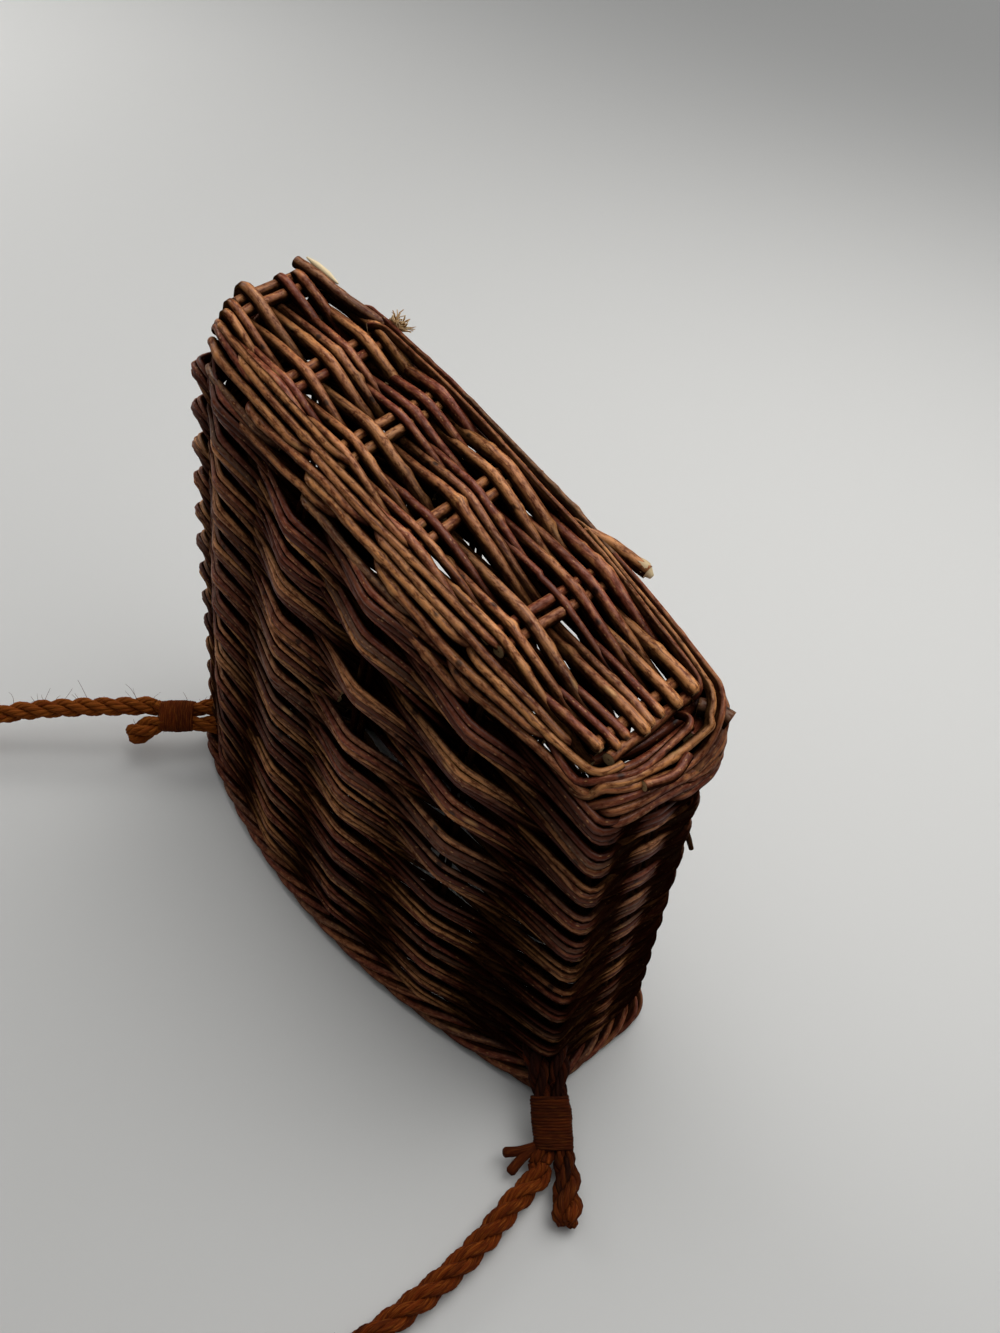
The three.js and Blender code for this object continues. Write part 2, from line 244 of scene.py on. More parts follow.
def makeBark():
    material, s, shader = newMaterial("willowBark")
    place = s.mark("bark", 1)
    tint = s.mark("tint")
    tone = s.mark("tone")
    lightAndPolish = s.mark("lightAndPolish")
    streak = place.grain("ShaderNodeTexNoise", bark["streaks"], {"Detail": 5.0, "Roughness": 0.62})
    mottle = place.grain("ShaderNodeTexNoise", bark["mottles"], {"Detail": 4.0, "Roughness": 0.65})
    patch = place.grain("ShaderNodeTexNoise", bark["patches"], {"Detail": 3.0})
    pore, knot, scar = (place.grain("ShaderNodeTexVoronoi", bark[key], {})
                        for key in ("pores", "knots", "scars"))
    lighter = tint.ramp(-0.1, 0.4)
    scarMask = 1 - scar.ramp(0.07, 0.14)
    color = s.mix(bark["dark"], bark["red"], tint.ramp(-0.15, 0.35))
    layers = (
        ("tan", tint.ramp(0.35, 1.0)), ("grey", tone.ramp(0.6, 1.0) * 0.75),
        ("tan", patch.ramp(0.5, 0.68) * 0.55 * lighter), ("dark", (1 - mottle.ramp(0.36, 0.52)) * 0.85),
        ("tan", mottle.ramp(0.53, 0.68) * 0.6 * lighter), ("dark", streak.ramp(0.5, 0.64) * 0.78),
        ("knot", (1 - knot.ramp(0.04, 0.1)) * 0.7), ("knot", (1 - pore.ramp(0.1, 0.2)) * 0.5),
        ("scar", scarMask * 0.8),
    )
    for key, amount in layers:
        color = s.mix(color, bark[key], amount)
    # painted light and shade: the colour is multiplied up where the rod faces up or out and rides high, and
    # down on its sides and where it passes under others
    paintedLight = bark["paintedShade"] + (bark["paintedLight"] - bark["paintedShade"]) * lightAndPolish.ramp(0.77, 1.22)
    height = streak * 0.5 + mottle * 0.6 + patch * 0.4 - scarMask * 0.5 + (1 - knot.ramp(0.0, 0.12)) * 1.2
    s.fill(shader, {
        "Base Color": s.mix(color, paintedLight, 1.0, "MULTIPLY"),
        "Specular IOR Level": bark["specular"],
        "Roughness": bark["roughness"] + streak * 0.25,
        "Coat Weight": lightAndPolish.ramp(0.8, 1.15) * bark["polish"] * mottle.ramp(0.3, 0.5),
        "Coat Roughness": bark["polishRoughness"],
        "Normal": height.bump(bark["bump"], bark["bumpDepth"]),
    })
    return material


# Fresh cut wood of the rods' ends, darker at the pith and under the bark
cutWood = {
    "pale": rgb(0.42, 0.27, 0.12), "pith": rgb(0.16, 0.08, 0.035), "edge": rgb(0.12, 0.055, 0.025),
    "grain": 6.0, "roughness": 0.75,
}


def makeCutWood():
    material, s, shader = newMaterial("cutWood")
    place = s.mark("ring", 1)
    radius = s.node("ShaderNodeVectorMath", {"operation": "LENGTH"}, {0: place}, 1)
    grain = s.node("ShaderNodeTexNoise", {}, {"Vector": place, "Scale": cutWood["grain"], "Detail": 3.0})
    color = s.mix(cutWood["pale"], cutWood["edge"], radius.ramp(0.78, 1.0))
    color = s.mix(cutWood["pith"], color, radius.ramp(0.08, 0.25))
    color = s.mix(color, cutWood["edge"], grain.ramp(0.5, 0.75) * 0.6)
    s.fill(shader, {"Base Color": color, "Roughness": cutWood["roughness"]})
    return material


# Peeled wood of the sliver and the frayed end: straw coloured, paler with a higher tint
peeledWood = {
    "straw": rgb(0.30, 0.15, 0.045), "pale": rgb(0.80, 0.64, 0.38), "grain": (150.0, 2500.0, 2500.0),
    "roughness": 0.6,
}


def makePeeledWood():
    material, s, shader = newMaterial("peeledWood")
    grain = s.mark("bark", 1).grain("ShaderNodeTexNoise", peeledWood["grain"], {"Detail": 3.0})
    paleness = (s.mark("tint") + (grain - 0.5) * 0.5).ramp(0.0, 1.0)
    color = s.mix(peeledWood["straw"], peeledWood["pale"], paleness)
    s.fill(shader, {"Base Color": color, "Roughness": peeledWood["roughness"]})
    return material


# Rope: rust coloured yarns, matt, with painted shade in the hollows of the fibre bumps and a painted gold
# highlight on their ridges
ropeDyeAndShade = {
    "dark": rgb(0.013, 0.002, 0.0004), "rust": rgb(0.135, 0.022, 0.002), "gold": rgb(0.460, 0.150, 0.020),
    "fibres": (300.0, 3500.0, 3500.0), "blotches": 90.0, "roughness": 0.85, "specular": 0.08,
    "bump": 0.6, "bumpDepth": 0.0004,
}


def makeRopeFibre():
    material, s, shader = newMaterial("ropeFibre")
    place = s.mark("bark", 1)
    tint = s.mark("tint")
    fine = place.grain("ShaderNodeTexNoise", ropeDyeAndShade["fibres"], {"Detail": 3.0})
    blotches = {"Vector": place, "Scale": ropeDyeAndShade["blotches"], "Detail": 2.0}
    blotch = s.node("ShaderNodeTexNoise", {}, blotches)
    # the tint carries painted shade on the rope's near end and painted light towards its far end; the
    # blotches are the rope's own uneven colour
    color = s.mix(ropeDyeAndShade["dark"], ropeDyeAndShade["rust"], (tint * 0.7 + blotch * 0.6).ramp(0.15, 0.75))
    # gold on the fibre ridges: a painted highlight, stronger where the rope is painted light
    gold = fine.ramp(0.5, 0.8) * (0.04 + 0.51 * tint.ramp(-0.2, 0.6)) + tint.ramp(0.6, 1.2) * 0.3
    color = s.mix(color, ropeDyeAndShade["gold"], gold)
    s.fill(shader, {
        # painted shade in the hollows between the fibres
        "Base Color": s.mix(color, ropeDyeAndShade["dark"], (1 - fine.ramp(0.25, 0.45)) * 0.55),
        "Roughness": ropeDyeAndShade["roughness"],
        "Specular IOR Level": ropeDyeAndShade["specular"],
        "Normal": fine.bump(ropeDyeAndShade["bump"], ropeDyeAndShade["bumpDepth"]),
    })
    return material


barkMaterial = makeBark()
cutMaterial = makeCutWood()
peeledMaterial = makePeeledWood()
ropeMaterial = makeRopeFibre()
print("materials made")

# Rods: bevelled curves made into one mesh, with each rod's own place, tint, tone and a mask of painted light
# and shade kept on it.
# Its seed sets how far its grain lies from that of the others
# how much a rod riding high adds to its painted light
rodMarks = {"apartAlong": 517.3, "apartAcross": 0.131, "raisedLight": 0.2}


# face: the way the painted light comes from; high: how far the rod rides into that painted light
def makeRod(points, radii, seed, tint, tone=0.5, face=(0, 0, 1.0), high=0.0, closed=False):
    return {"points": points, "radii": radii, "seed": seed, "tint": tint, "tone": tone, "face": face,
            "high": high, "closed": closed}


def rodPiece(name, rods, sides, nodes, material):
    curve = bpy.data.curves.new(name, "CURVE")
    curve.dimensions = "3D"
    curve.bevel_depth = mm
    curve.bevel_resolution = sides // 2 - 2
    for rod in rods:
        points = rod["points"]
        spline = curve.splines.new("POLY")
        spline.points.add(len(points) - 1)
        spline.points.foreach_set("co", [c for p in points for c in (p[0] * mm, p[1] * mm, p[2] * mm, 1)])
        spline.points.foreach_set("radius", rod["radii"])
        spline.use_cyclic_u = rod["closed"]
    holder = bpy.data.objects.new(name + "Curve", curve)
    bpy.context.collection.objects.link(holder)
    bpy.context.view_layer.update()
    mesh = bpy.data.meshes.new_from_object(holder.evaluated_get(bpy.context.evaluated_depsgraph_get()))
    bpy.data.objects.remove(holder)
    bpy.data.curves.remove(curve)
    mesh.name = name
    addRodMarks(mesh, rods)
    mesh.materials.clear()
    mesh.materials.append(material)
    mesh.materials.append(cutMaterial if material is barkMaterial else material)
    closeEnds(mesh)
    return finishPiece(name, mesh, nodes)


def closeEnds(mesh):
    bm = bmesh.new()
    bm.from_mesh(mesh)
    for face in bm.faces:
        face.smooth = True
    rims = [edge for edge in bm.edges if edge.is_boundary]
    for face in bmesh.ops.holes_fill(bm, edges=rims, sides=0)["faces"]:
        face.material_index = 1
        face.smooth = False
    bm.to_mesh(mesh)
    bm.free()


def addRodMarks(mesh, rods):
    spots = np.empty(len(mesh.vertices) * 3)
    mesh.vertices.foreach_get("co", spots)
    spots = spots.reshape(-1, 3) / mm
    ring = len(spots) // sum(len(rod["points"]) for rod in rods)
    angles = np.arange(ring) * 2 * math.pi / ring
    circle = np.stack([np.cos(angles), np.sin(angles)], 1)
    places, rings, tints, tones, lightValues = [], [], [], [], []
    done = 0
    for rod in rods:
        points = np.array([tuple(p) for p in rod["points"]])
        count = len(points)
        steps = np.linalg.norm(np.diff(points, axis=0), axis=1)
        along = np.concatenate([[0], np.cumsum(steps)]) + rod["seed"] * rodMarks["apartAlong"]
        across = circle[None] * np.array(rod["radii"])[:, None, None] * mm
        place = np.zeros((count, ring, 3))
        place[:, :, 0] = along[:, None] * mm
        place[:, :, 1:] = across + rod["seed"] * rodMarks["apartAcross"]
        places.append(place.reshape(-1, 3))
        flatRing = np.zeros((count, ring, 3))
        flatRing[:, :, :2] = circle[None]
        rings.append(flatRing.reshape(-1, 3))
        tints.append(np.repeat(np.broadcast_to(rod["tint"], count), ring))
        tones.append(np.full(count * ring, rod["tone"]))
        # painted light and shade: spots facing the rod's face, and rods riding high, get higher values; the
        # same values also mask the polish
        outward = spots[done:done + count * ring].reshape(count, ring, 3) - points[:, None]
        outward /= np.maximum(np.linalg.norm(outward, axis=2, keepdims=True), 1e-6)
        face = np.broadcast_to(np.array(rod["face"]), (count, 3))
        high = np.broadcast_to(rod["high"], count)
        facing = np.sum(outward * face[:, None], axis=2)
        lightValues.append((0.5 + 0.5 * facing + rodMarks["raisedLight"] * high[:, None]).ravel())
        done += count * ring
    for key, values in (("bark", places), ("ring", rings)):
        layer = mesh.attributes.new(key, "FLOAT_VECTOR", "POINT")
        layer.data.foreach_set("vector", np.concatenate(values).astype(np.float32).ravel())
    for key, values in (("tint", tints), ("tone", tones), ("lightAndPolish", lightValues)):
        layer = mesh.attributes.new(key, "FLOAT", "POINT")
        layer.data.foreach_set("value", np.concatenate(values).astype(np.float32))


def finishPiece(name, mesh, nodes):
    piece = bpy.data.objects.new(name, mesh)
    bpy.context.collection.objects.link(piece)
    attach(piece, "root")
    if nodes:
        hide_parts(*nodes)
    return piece


def willowPiece(name, rods, sides, *nodes):
    return rodPiece(name, rods, sides, nodes, barkMaterial)


def ropePiece(name, rods, sides, *nodes):
    return rodPiece(name, rods, sides, nodes, ropeMaterial)


def smoothPath(points, step):
    # evenly stepped points on a centripetal Catmull-Rom curve through the given ones
    pts = [Vector(p) for p in points]
    pts = [pts[0] * 2 - pts[1]] + pts + [pts[-1] * 2 - pts[-2]]
    perSpan = 24
    dense = []
    for i in range(1, len(pts) - 2):
        p0, p1, p2, p3 = pts[i - 1:i + 3]
        t1 = max((p1 - p0).length, 1e-6) ** 0.5
        t2 = t1 + max((p2 - p1).length, 1e-6) ** 0.5
        t3 = t2 + max((p3 - p2).length, 1e-6) ** 0.5
        for n in range(perSpan):
            t = lerp(t1, t2, n / perSpan)
            a1 = p0 * ((t1 - t) / t1) + p1 * (t / t1)
            a2 = p1 * ((t2 - t) / (t2 - t1)) + p2 * ((t - t1) / (t2 - t1))
            a3 = p2 * ((t3 - t) / (t3 - t2)) + p3 * ((t - t2) / (t3 - t2))
            b1 = a1 * ((t2 - t) / t2) + a2 * (t / t2)
            b2 = a2 * ((t3 - t) / (t3 - t1)) + a3 * ((t - t1) / (t3 - t1))
            dense.append(b1 * ((t2 - t) / (t2 - t1)) + b2 * ((t - t1) / (t2 - t1)))
    dense.append(pts[-2].copy())
    lengths = [0.0]
    for a, b in zip(dense, dense[1:]):
        lengths.append(lengths[-1] + (b - a).length)
    count = max(2, round(lengths[-1] / step))
    even, k = [], 0
    for n in range(count + 1):
        goal = lengths[-1] * n / count
        while k < len(lengths) - 2 and lengths[k + 1] < goal:
            k += 1
        span = max(lengths[k + 1] - lengths[k], 1e-9)
        even.append(dense[k].lerp(dense[k + 1], (goal - lengths[k]) / span))
    return even


def anyVector(rng, *ranges):
    return Vector([rng.uniform(*ends) for ends in ranges])


def bowedPoints(start, reach, bow, parts):
    return [start + reach * w + bow * (4 * w * (1 - w)) for w in parts]


# Rope: the route of the solids, from the near tail round the front to the far tail. Rows at a corner are
# along, across and down from the place where the rope leaves it
nearCorner = {
    "leaves": (103.5, -24.3, 18), "out": (0.82, -0.572), "roll": 0, "bound": (8, 25, 28),
    "strapAt": (28.2, -4.83, 12.75),
}
farCorner = {
    "leaves": (-99.5, -27, 16.6), "out": (-0.585, -0.811), "roll": 33, "bound": (4, 19.6, 22),
    "strapAt": (22.2, -4.25, 0),
}
passGap = 3.7
boundGap = 2.8     # the bindings squeeze the two lengths of rope together
nearTail = [(47.5, 0.6, 12.8), (40, 1.8, 12.9), (32, 3.2, 12.9)]
nearBound = [(24.6, boundGap, 11.6), (17.3, boundGap, 8.4), (10, boundGap, 5.2), (5, 3.1, 2.2)]
nearStart = [(28, -4.8, 12.7), (28.5, -4.88, 12.85), (31, -5.28, 13.6)]
farTail = [(32, 6.6, 2.6), (26, 5.0, 1.2)]
farBound = [(19.6, boundGap, 0), (12.5, boundGap, 0), (6, boundGap + 0.2, 0)]
farStart = [(22, -4.25, 0), (22.4, -4.25, 0), (26.5, -4.25, 0)]
innerTurn = [(0, passGap, 0), (-9, passGap, 0), (-13.5, 3.1, 0), (-15.2, 0, 0)]
strapRoute = [
    (127.3, -58.5, 4.4), (129.8, -74, 4.3), (130.5, -97, 4.3), (126.5, -131, 4.3), (112, -166, 4.3),
    (86, -196, 4.3), (50, -218, 4.3), (8, -228, 4.3), (-38, -226, 4.3), (-82, -213, 4.3),
    (-121, -189, 4.4), (-147, -159, 5.2), (-158, -131, 8), (-156, -108, 12.5), (-148.5, -90, 15.6),
    (-137.4, -73.4, 17.7), (-125.7, -57.2, 18.6),
]
rope = {
    "strandOffset": 2.05, "yarnOffset": 1.15, "yarnRadius": 0.92, "strands": 3, "yarns": 5,
    "lay": 25.0, "yarnLay": -17.0, "step": 1.5, "diameter": 8.0,
    "squeeze": 0.2, "squeezeRun": 6, "cornerReach": 40,
    "flare": 0.3, "flareAt": (0, 3, 18), "tip": 0.62, "tipLength": 3.5,
    # the rope's tint along its length: painted shade through the near end and painted light towards the far
    # end
    "shadeAt": (0, 22, 60, 95, 128, 170, 700), "shade": (0.35, -0.05, -0.4, -0.1, 0.55, 0.4, 1.0),
}


def cornerAxes(corner):
    out = Vector((*corner["out"], 0)).normalized()
    roll = math.radians(corner["roll"])
    side = Vector((-out.y, out.x, 0)) * math.cos(roll) - Vector((0, 0, math.sin(roll)))
    return Vector(corner["leaves"]), out, side


def inCorner(corner, along, across, drop):
    leaves, out, side = cornerAxes(corner)
    return leaves + out * along + side * across - Vector((0, 0, drop))


def ropeEnd(corner, tail, bound, start):
    wayIn = bound + innerTurn
    wayOut = [(along, -across, drop) for along, across, drop in reversed(wayIn[:-1])]
    return [inCorner(corner, *row) for row in tail + wayIn + wayOut + start]


nearPoints = ropeEnd(nearCorner, nearTail, nearBound, nearStart)
farPoints = ropeEnd(farCorner, farTail, farBound, farStart)
wholeRope = smoothPath(nearPoints + [Vector(p) for p in strapRoute] + farPoints[::-1], rope["step"])


def nearestIndex(path, point):
    return min(range(len(path)), key=lambda i: (path[i] - point).length)


def pathFrames(path):
    # a normal carried along the path with as little turning as possible
    frames = []
    normal = (path[1] - path[0]).normalized().orthogonal().normalized()
    for i in range(len(path)):
        ahead = (path[min(i + 1, len(path) - 1)] - path[max(i - 1, 0)]).normalized()
        normal = (normal - ahead * normal.dot(ahead)).normalized()
        frames.append((normal.copy(), ahead.cross(normal)))
    return frames


ropeFrames = pathFrames(wholeRope)


def ropeSpoke(i, angle):
    normal, across = ropeFrames[i]
    return normal * math.cos(angle) + across * math.sin(angle)


def ropeGirth(i):
    # squeezed inside the bindings, flared and rounded off at the two tails
    girth = 1.0
    for corner in (nearCorner, farCorner):
        leaves, out = cornerAxes(corner)[:2]
        if (wholeRope[i] - leaves).length < rope["cornerReach"]:
            along = (wholeRope[i] - leaves).dot(out)
            start, full, free = corner["bound"]
            squeezeAt = (start - rope["squeezeRun"], start, full, free)
            girth -= rope["squeeze"] * between(along, squeezeAt, (0, 1, 1, 0))
    fromEnd = min(i, len(wholeRope) - 1 - i) * rope["step"]
    girth += rope["flare"] * between(fromEnd, rope["flareAt"], (1, 1, 0))
    return girth * lerp(rope["tip"], 1, min(1, fromEnd / rope["tipLength"]) ** 0.5)


def ropeYarns(first, last):
    rods = []
    girths = [ropeGirth(i) for i in range(first, last + 1)]
    radii = [rope["yarnRadius"] * girth for girth in girths]
    for strand in range(rope["strands"]):
        for yarn in range(rope["yarns"]):
            points, tints = [], []
            seed = strand * 7 + yarn * 1.37 + first * 0.01
            for i in range(first, last + 1):
                s = i * rope["step"]
                turn = math.tau * (s / rope["lay"] + strand / rope["strands"])
                turn += 0.25 * wobble(s * 0.05, 1.7)
                spin = math.tau * (s / rope["yarnLay"] + yarn / rope["yarns"]) + strand
                loose = 1 + 0.12 * wobble(s * 0.15, seed)
                offset = ropeSpoke(i, turn) * rope["strandOffset"]
                offset += ropeSpoke(i, spin) * rope["yarnOffset"] * loose
                points.append(wholeRope[i] + offset * girths[i - first])
                # painted shade and light along the rope, and a random tint for each yarn
                tints.append(between(s, rope["shadeAt"], rope["shade"]) + 0.4 * wobble(seed, 3.3))
            rods.append(makeRod(points, radii, seed, tints))
    return rods


lastPoint = len(wholeRope) - 1
firstStrap = nearestIndex(wholeRope, inCorner(nearCorner, *nearCorner["strapAt"]))
lastStrap = lastPoint - nearestIndex(wholeRope[::-1], inCorner(farCorner, *farCorner["strapAt"]))
strap = ropePiece("ropeStrap", ropeYarns(firstStrap, lastStrap), 6, "rope_strap")
strapPath = [p * mm for p in wholeRope[firstStrap:lastStrap + 1]]
strapLength = sum((b - a).length for a, b in zip(strapPath, strapPath[1:]))
print("strap", round(strapLength, 4), "m")

endNear = ropePiece("ropeEndNear", ropeYarns(0, firstStrap), 6, "rope_end_near")
endFar = ropePiece("ropeEndFar", ropeYarns(lastStrap, lastPoint), 6, "rope_end_far")

# Bindings: close turns of thin cord round each doubled rope end, drawn tight
binding = {"cord": 0.6, "wall": 3.35, "pitch": 0.86, "slant": 0.8, "perTurn": 32}


def bindingRods(corner, bound, seed, tint):
    turns = round((bound[0][0] - bound[2][0]) / binding["pitch"])
    start, end = (inCorner(corner, row[0], 0, row[2]) for row in (bound[2], bound[0]))
    ahead = (end - start).normalized()
    side = cornerAxes(corner)[2]
    up = ahead.cross(side).normalized()
    points = []
    for i in range(turns * binding["perTurn"] + 1):
        angle = math.tau * i / binding["perTurn"]
        part = i / (turns * binding["perTurn"])
        girth = binding["wall"] * (1 + 0.07 * wobble(part * 4, seed) - 0.12 * (2 * part - 1) ** 4)
        flat = boundGap * max(-1, min(1, 1.6 * math.cos(angle)))
        offset = side * (flat + girth * math.cos(angle)) + up * girth * math.sin(angle)
        offset += ahead * binding["slant"] * math.sin(angle + 0.7)
        points.append(start.lerp(end, part) + offset + side * 0.3 * wobble(part * 9, seed + 2))
    return [makeRod(points, [binding["cord"]] * len(points), seed, tint)]


whipNear = ropePiece("whippingNear", bindingRods(nearCorner, nearBound, 5.1, 0.0), 8, "whipping_near")
whipFar = ropePiece("whippingFar", bindingRods(farCorner, farBound, 6.4, 0.3), 8, "whipping_far")

# the near binding's end stands out as two thick prongs
prongs = {
    "root": (23, -4.8, 11), "tips": ((24.5, -16.5, 11.4), (30, -15, 14.2)), "radius": 1.55, "tint": 0.05,
    "step": 0.8,
}


def prongRods():
    rods = []
    for k, tip in enumerate(prongs["tips"]):
        root = Vector(prongs["root"])
        middle = root.lerp(Vector(tip), 0.55) + Vector((0.4 - k, 0, 0.5 - k))
        path = smoothPath([inCorner(nearCorner, *p) for p in (root, middle, tip)], prongs["step"])
        radii = [prongs["radius"] * (0.9 + 0.25 * i / len(path)) for i in range(len(path))]
        radii[-1] *= 0.6
        rods.append(makeRod(path, radii, 9.1 + k, prongs["tint"]))
    return rods


bindingEnd = ropePiece("bindingEndNear", prongRods(), 8, "binding_end_near")

# Fuzz: loose fibres that stand off the rope, a third of them near its far end
fuzz = {
    "count": 150, "radius": 0.075, "short": (1.5, 5.0), "long": (7.0, 11.0), "root": 2.6,
    "lean": (-1.1, 1.1), "bow": 0.16, "farRun": 46, "lowest": 0.4, "tint": 0.3,
    "parts": (0, 0.25, 0.5, 0.75, 1), "taper": (1.3, 1.2, 1, 0.9, 0.6),
}


def fuzzRods():
    rng = random.Random(77)
    rods = []
    radii = [fuzz["radius"] * k for k in fuzz["taper"]]
    for n in range(fuzz["count"]):
        i = rng.randrange(2 if n % 3 else lastStrap - fuzz["farRun"], lastPoint - 1)
        radial = ropeSpoke(i, rng.uniform(0, math.tau))
        if radial.z < -0.25:
            radial.z *= -1
        along = (wholeRope[i + 1] - wholeRope[i - 1]).normalized() * rng.uniform(*fuzz["lean"])
        length = rng.uniform(*fuzz["long" if n % 9 == 0 else "short"])
        reach = (radial + along).normalized() * length
        bow = anyVector(rng, (-1, 1), (-1, 1), (-0.3, 0.6)) * length * fuzz["bow"]
        points = bowedPoints(wholeRope[i] + radial * fuzz["root"], reach, bow, fuzz["parts"])
        for point in points:
            point.z = max(point.z, fuzz["lowest"])
        rods.append(makeRod(points, radii, rng.uniform(0, 30), fuzz["tint"]))
    return rods


ropeFuzz = ropePiece("ropeFuzz", fuzzRods(), 4)
print("rope made")

# Base: pairs of cross sticks, and long rods over and under them
base = {
    "pairs": (-96, -60.3, -29.5, 6.3, 47.7, 88.5),      # where each pair crosses the middle line
    "tilts": (-0.2, -0.2, -0.19, -0.2, -0.07, -0.1),    # how far it leans along for each mm across
    "pairGap": 5.2, "outerGap": 36, "stickRadius": 2.0, "stickSteps": 30,
    "backLeft": 4.5, "frontLeft": 4, "firstFrontLeft": 12,      # room left past the ends of the sticks
    "step": 1.1, "edge": 0.94, "nest": 0.8, "taper": (1.06, 0.94), "acrossAt": (-93, 0, 90),
    "oddNear": (88.5, 91), "evenNear": (90, 94), "oddFar": -98.0, "evenFar": -92,
    "bend": 4.5, "farDrop": 10.0,       # the far ends bend down over the first pair
    "smallKnots": 3, "knotPlaces": (-85, 80), "knotSizes": (0.08, 0.16), "buttRun": 6, "tipRun": 1.8,
}
knotReach = 1.6


def halfWidthAt(x):
    part = max(-1, min(1, x / bag["footLength"]))
    return bag["footWidth"] + bag["footBow"] * (1 - part * part)


def pairPlace(x, y):
    # position along the base, counted in pairs of sticks
    places = [p + t * y for p, t in zip(base["pairs"], base["tilts"])]
    places = [places[0] - base["outerGap"]] + places + [places[-1] + base["outerGap"]]
    return between(x, places, range(-1, len(places) - 1))


def stickRods(pair, place, rng):
    x = base["pairs"][pair] + place * base["pairGap"] / 2
    reach = halfWidthAt(x) - base["backLeft"]
    front = reach - base["firstFrontLeft" if pair == 0 else "frontLeft"]
    points, radii = [], []
    seed = rng.uniform(0, 50)
    for i in range(base["stickSteps"] + 1):
        w = i / base["stickSteps"]
        y = lerp(-front, reach, w)
        lean = base["tilts"][pair] * y
        points.append(basePoint(x + lean + 0.6 * wobble(w * 3, seed), y, 0.4 * wobble(w * 4, seed + 9)))
        radii.append(base["stickRadius"] * (1.0 + 0.08 * wobble(w * 9, seed + 4)))
    tint = rng.uniform(0.25, 0.85)
    tone = rng.uniform(0, 0.8)
    # the sticks sit a little into the painted light
    return [makeRod(points, radii, seed, tint, tone, tuple(baseNormal), 0.3)]


rng = random.Random(11)
for pair in range(6):
    for place, letter in ((-1, "a"), (1, "b")):
        label = f"{pair + 1}{letter}"
        sticks = stickRods(pair, place, rng)
        rodPiece("baseStick" + label, sticks, 12, ["base_stick_" + label], barkMaterial)

# each long rod: the pairs it runs over, its place across at the far end, middle and near end, its radius,
# its tint, then any big knots (place along, swelling), a far end of its own, and where another rod carries on
longRods = [
    ("odd", (23.5, 26.5, 21), 2.3, 0.45, {"far": -62, "plain": True}),
    ("even", (25.5, 24.5, 17), 2.4, 0.8, {"knots": ((-52, 0.12), (24, 0.15))}),
    ("odd", (16.5, 20.0, 14), 1.9, 0.4, {"knots": ((8, 0.2),)}),
    ("even", (17.5, 18.2, 9.5), 2.0, 0.75, {"knots": ((40, 0.15),)}),
    ("odd", (10.4, 13.5, 8), 1.8, 0.3, {"knots": ((-58, 0.15), (2, 0.18))}),
    ("even", (10.0, 9.9, 3), 1.6, 0.4, {"knots": ((15, 0.25),)}),
    ("odd", (6.2, 7.6, 2.5), 1.55, 0.35, {"far": -70, "joint": 37, "plain": True}),
    ("even", (5.2, 5.6, -2), 1.75, 0.55, {"knots": ((-51, 0.3),)}),
    ("even", (1.2, 0.3, -5.3), 2.05, 0.6, {"knots": ((6, 0.32), (62, 0.12))}),
    ("odd", (-4.2, -5.4, -13), 2.1, 0.7, {"knots": ((-12, 0.15), (58, 0.12))}),
    ("even", (-8.4, -10.6, -10.4), 1.85, 0.5, {"joint": -33}),
    ("odd", (-12.6, -13.8, -17), 1.65, 0.6, {"knots": ((20, 0.28), (48, 0.25)), "far": -92.5}),
    ("even", (-16.0, -17.6, -15.6), 1.45, 0.35, {}),
    ("odd", (-16.6, -19.6, -21.5), 1.6, 0.75, {"knots": ((30, 0.18),), "far": -89.0}),
    ("even", (-19.0, -22.0, -20.6), 1.7, 0.45, {}),
]


def knotSwell(place, knots):
    return sum(size * math.exp(-((place - spot) / knotReach) ** 2) for spot, size in knots)


def longRod(index, over, across, radius, tint, own):
    rng = random.Random(100 + index)
    seed = rng.uniform(0, 60)
    odd = over == "odd"
    far = own.get("far", base[over + "Far"])
    near = rng.uniform(*base[over + "Near"])
    count = round((near - far) / base["step"])
    knots = list(own.get("knots", ()))
    for n in range(base["smallKnots"]):
        knots.append((rng.uniform(*base["knotPlaces"]), rng.uniform(*base["knotSizes"])))
    points, radii, tints, high = [], [], [], []
    for i in range(count + 1):
        x = lerp(far, near, i / count)
        y = between(x, base["acrossAt"], across)
        y += 0.7 * wobble(x * 0.02, seed + 5) + 0.25 * wobble(x * 0.08, seed + 8)
        wave = softWave(math.cos(math.pi * (pairPlace(x, y) + (0 if odd else 1))), base["edge"])
        lift = wave * (base["stickRadius"] + radius - base["nest"]) + 0.4 * wobble(x * 0.06, seed)
        later = x > own.get("joint", math.inf)
        swell = knotSwell(x, knots)
        butt = 0 if odd else max(0, 1 - (near - x) / base["buttRun"]) ** 1.5
        tip = 0 if odd else max(0, 1 - (near - x) / base["tipRun"]) ** 2
        points.append(basePoint(x, y + 1.2 * swell, lift - (0.8 if later else 0)))
        girth = radius * lerp(*base["taper"], i / count) * (0.88 if later else 1)
        radii.append(girth * (1 + 0.06 * wobble(x * 0.12, seed + 3) + swell + 0.2 * butt - 0.6 * tip))
        shade = tint + 0.28 * wobble(x * 0.03, seed + 6) + 1.6 * swell + 0.6 * butt
        tints.append(shade - (0.4 if later else 0))
        # painted lighter where the rod rides over the sticks, painted in shade where it passes under
        high.append(wave - 0.15)
    if odd and "plain" not in own:
        along = (points[0] - points[1]).normalized()
        start = points[0].copy()
        for turn in (30, 60, 90):
            angle = math.radians(turn)
            bend = along * math.sin(angle) - Vector((0, 0, 1 - math.cos(angle)))
            points.insert(0, start + bend * base["bend"])
        points.insert(0, points[0] - Vector((0, 0, base["farDrop"])))
        radii = [radius] * 4 + radii
        tints = [tint] + [tint + 0.3] * 3 + tints
        high = [0.2] * 4 + high
    return makeRod(points, radii, seed, tints, rng.uniform(0, 0.95), tuple(baseNormal), high)


willowPiece("baseRods", [longRod(i, *row) for i, row in enumerate(longRods)], 12, "base_weave")
print("base made")

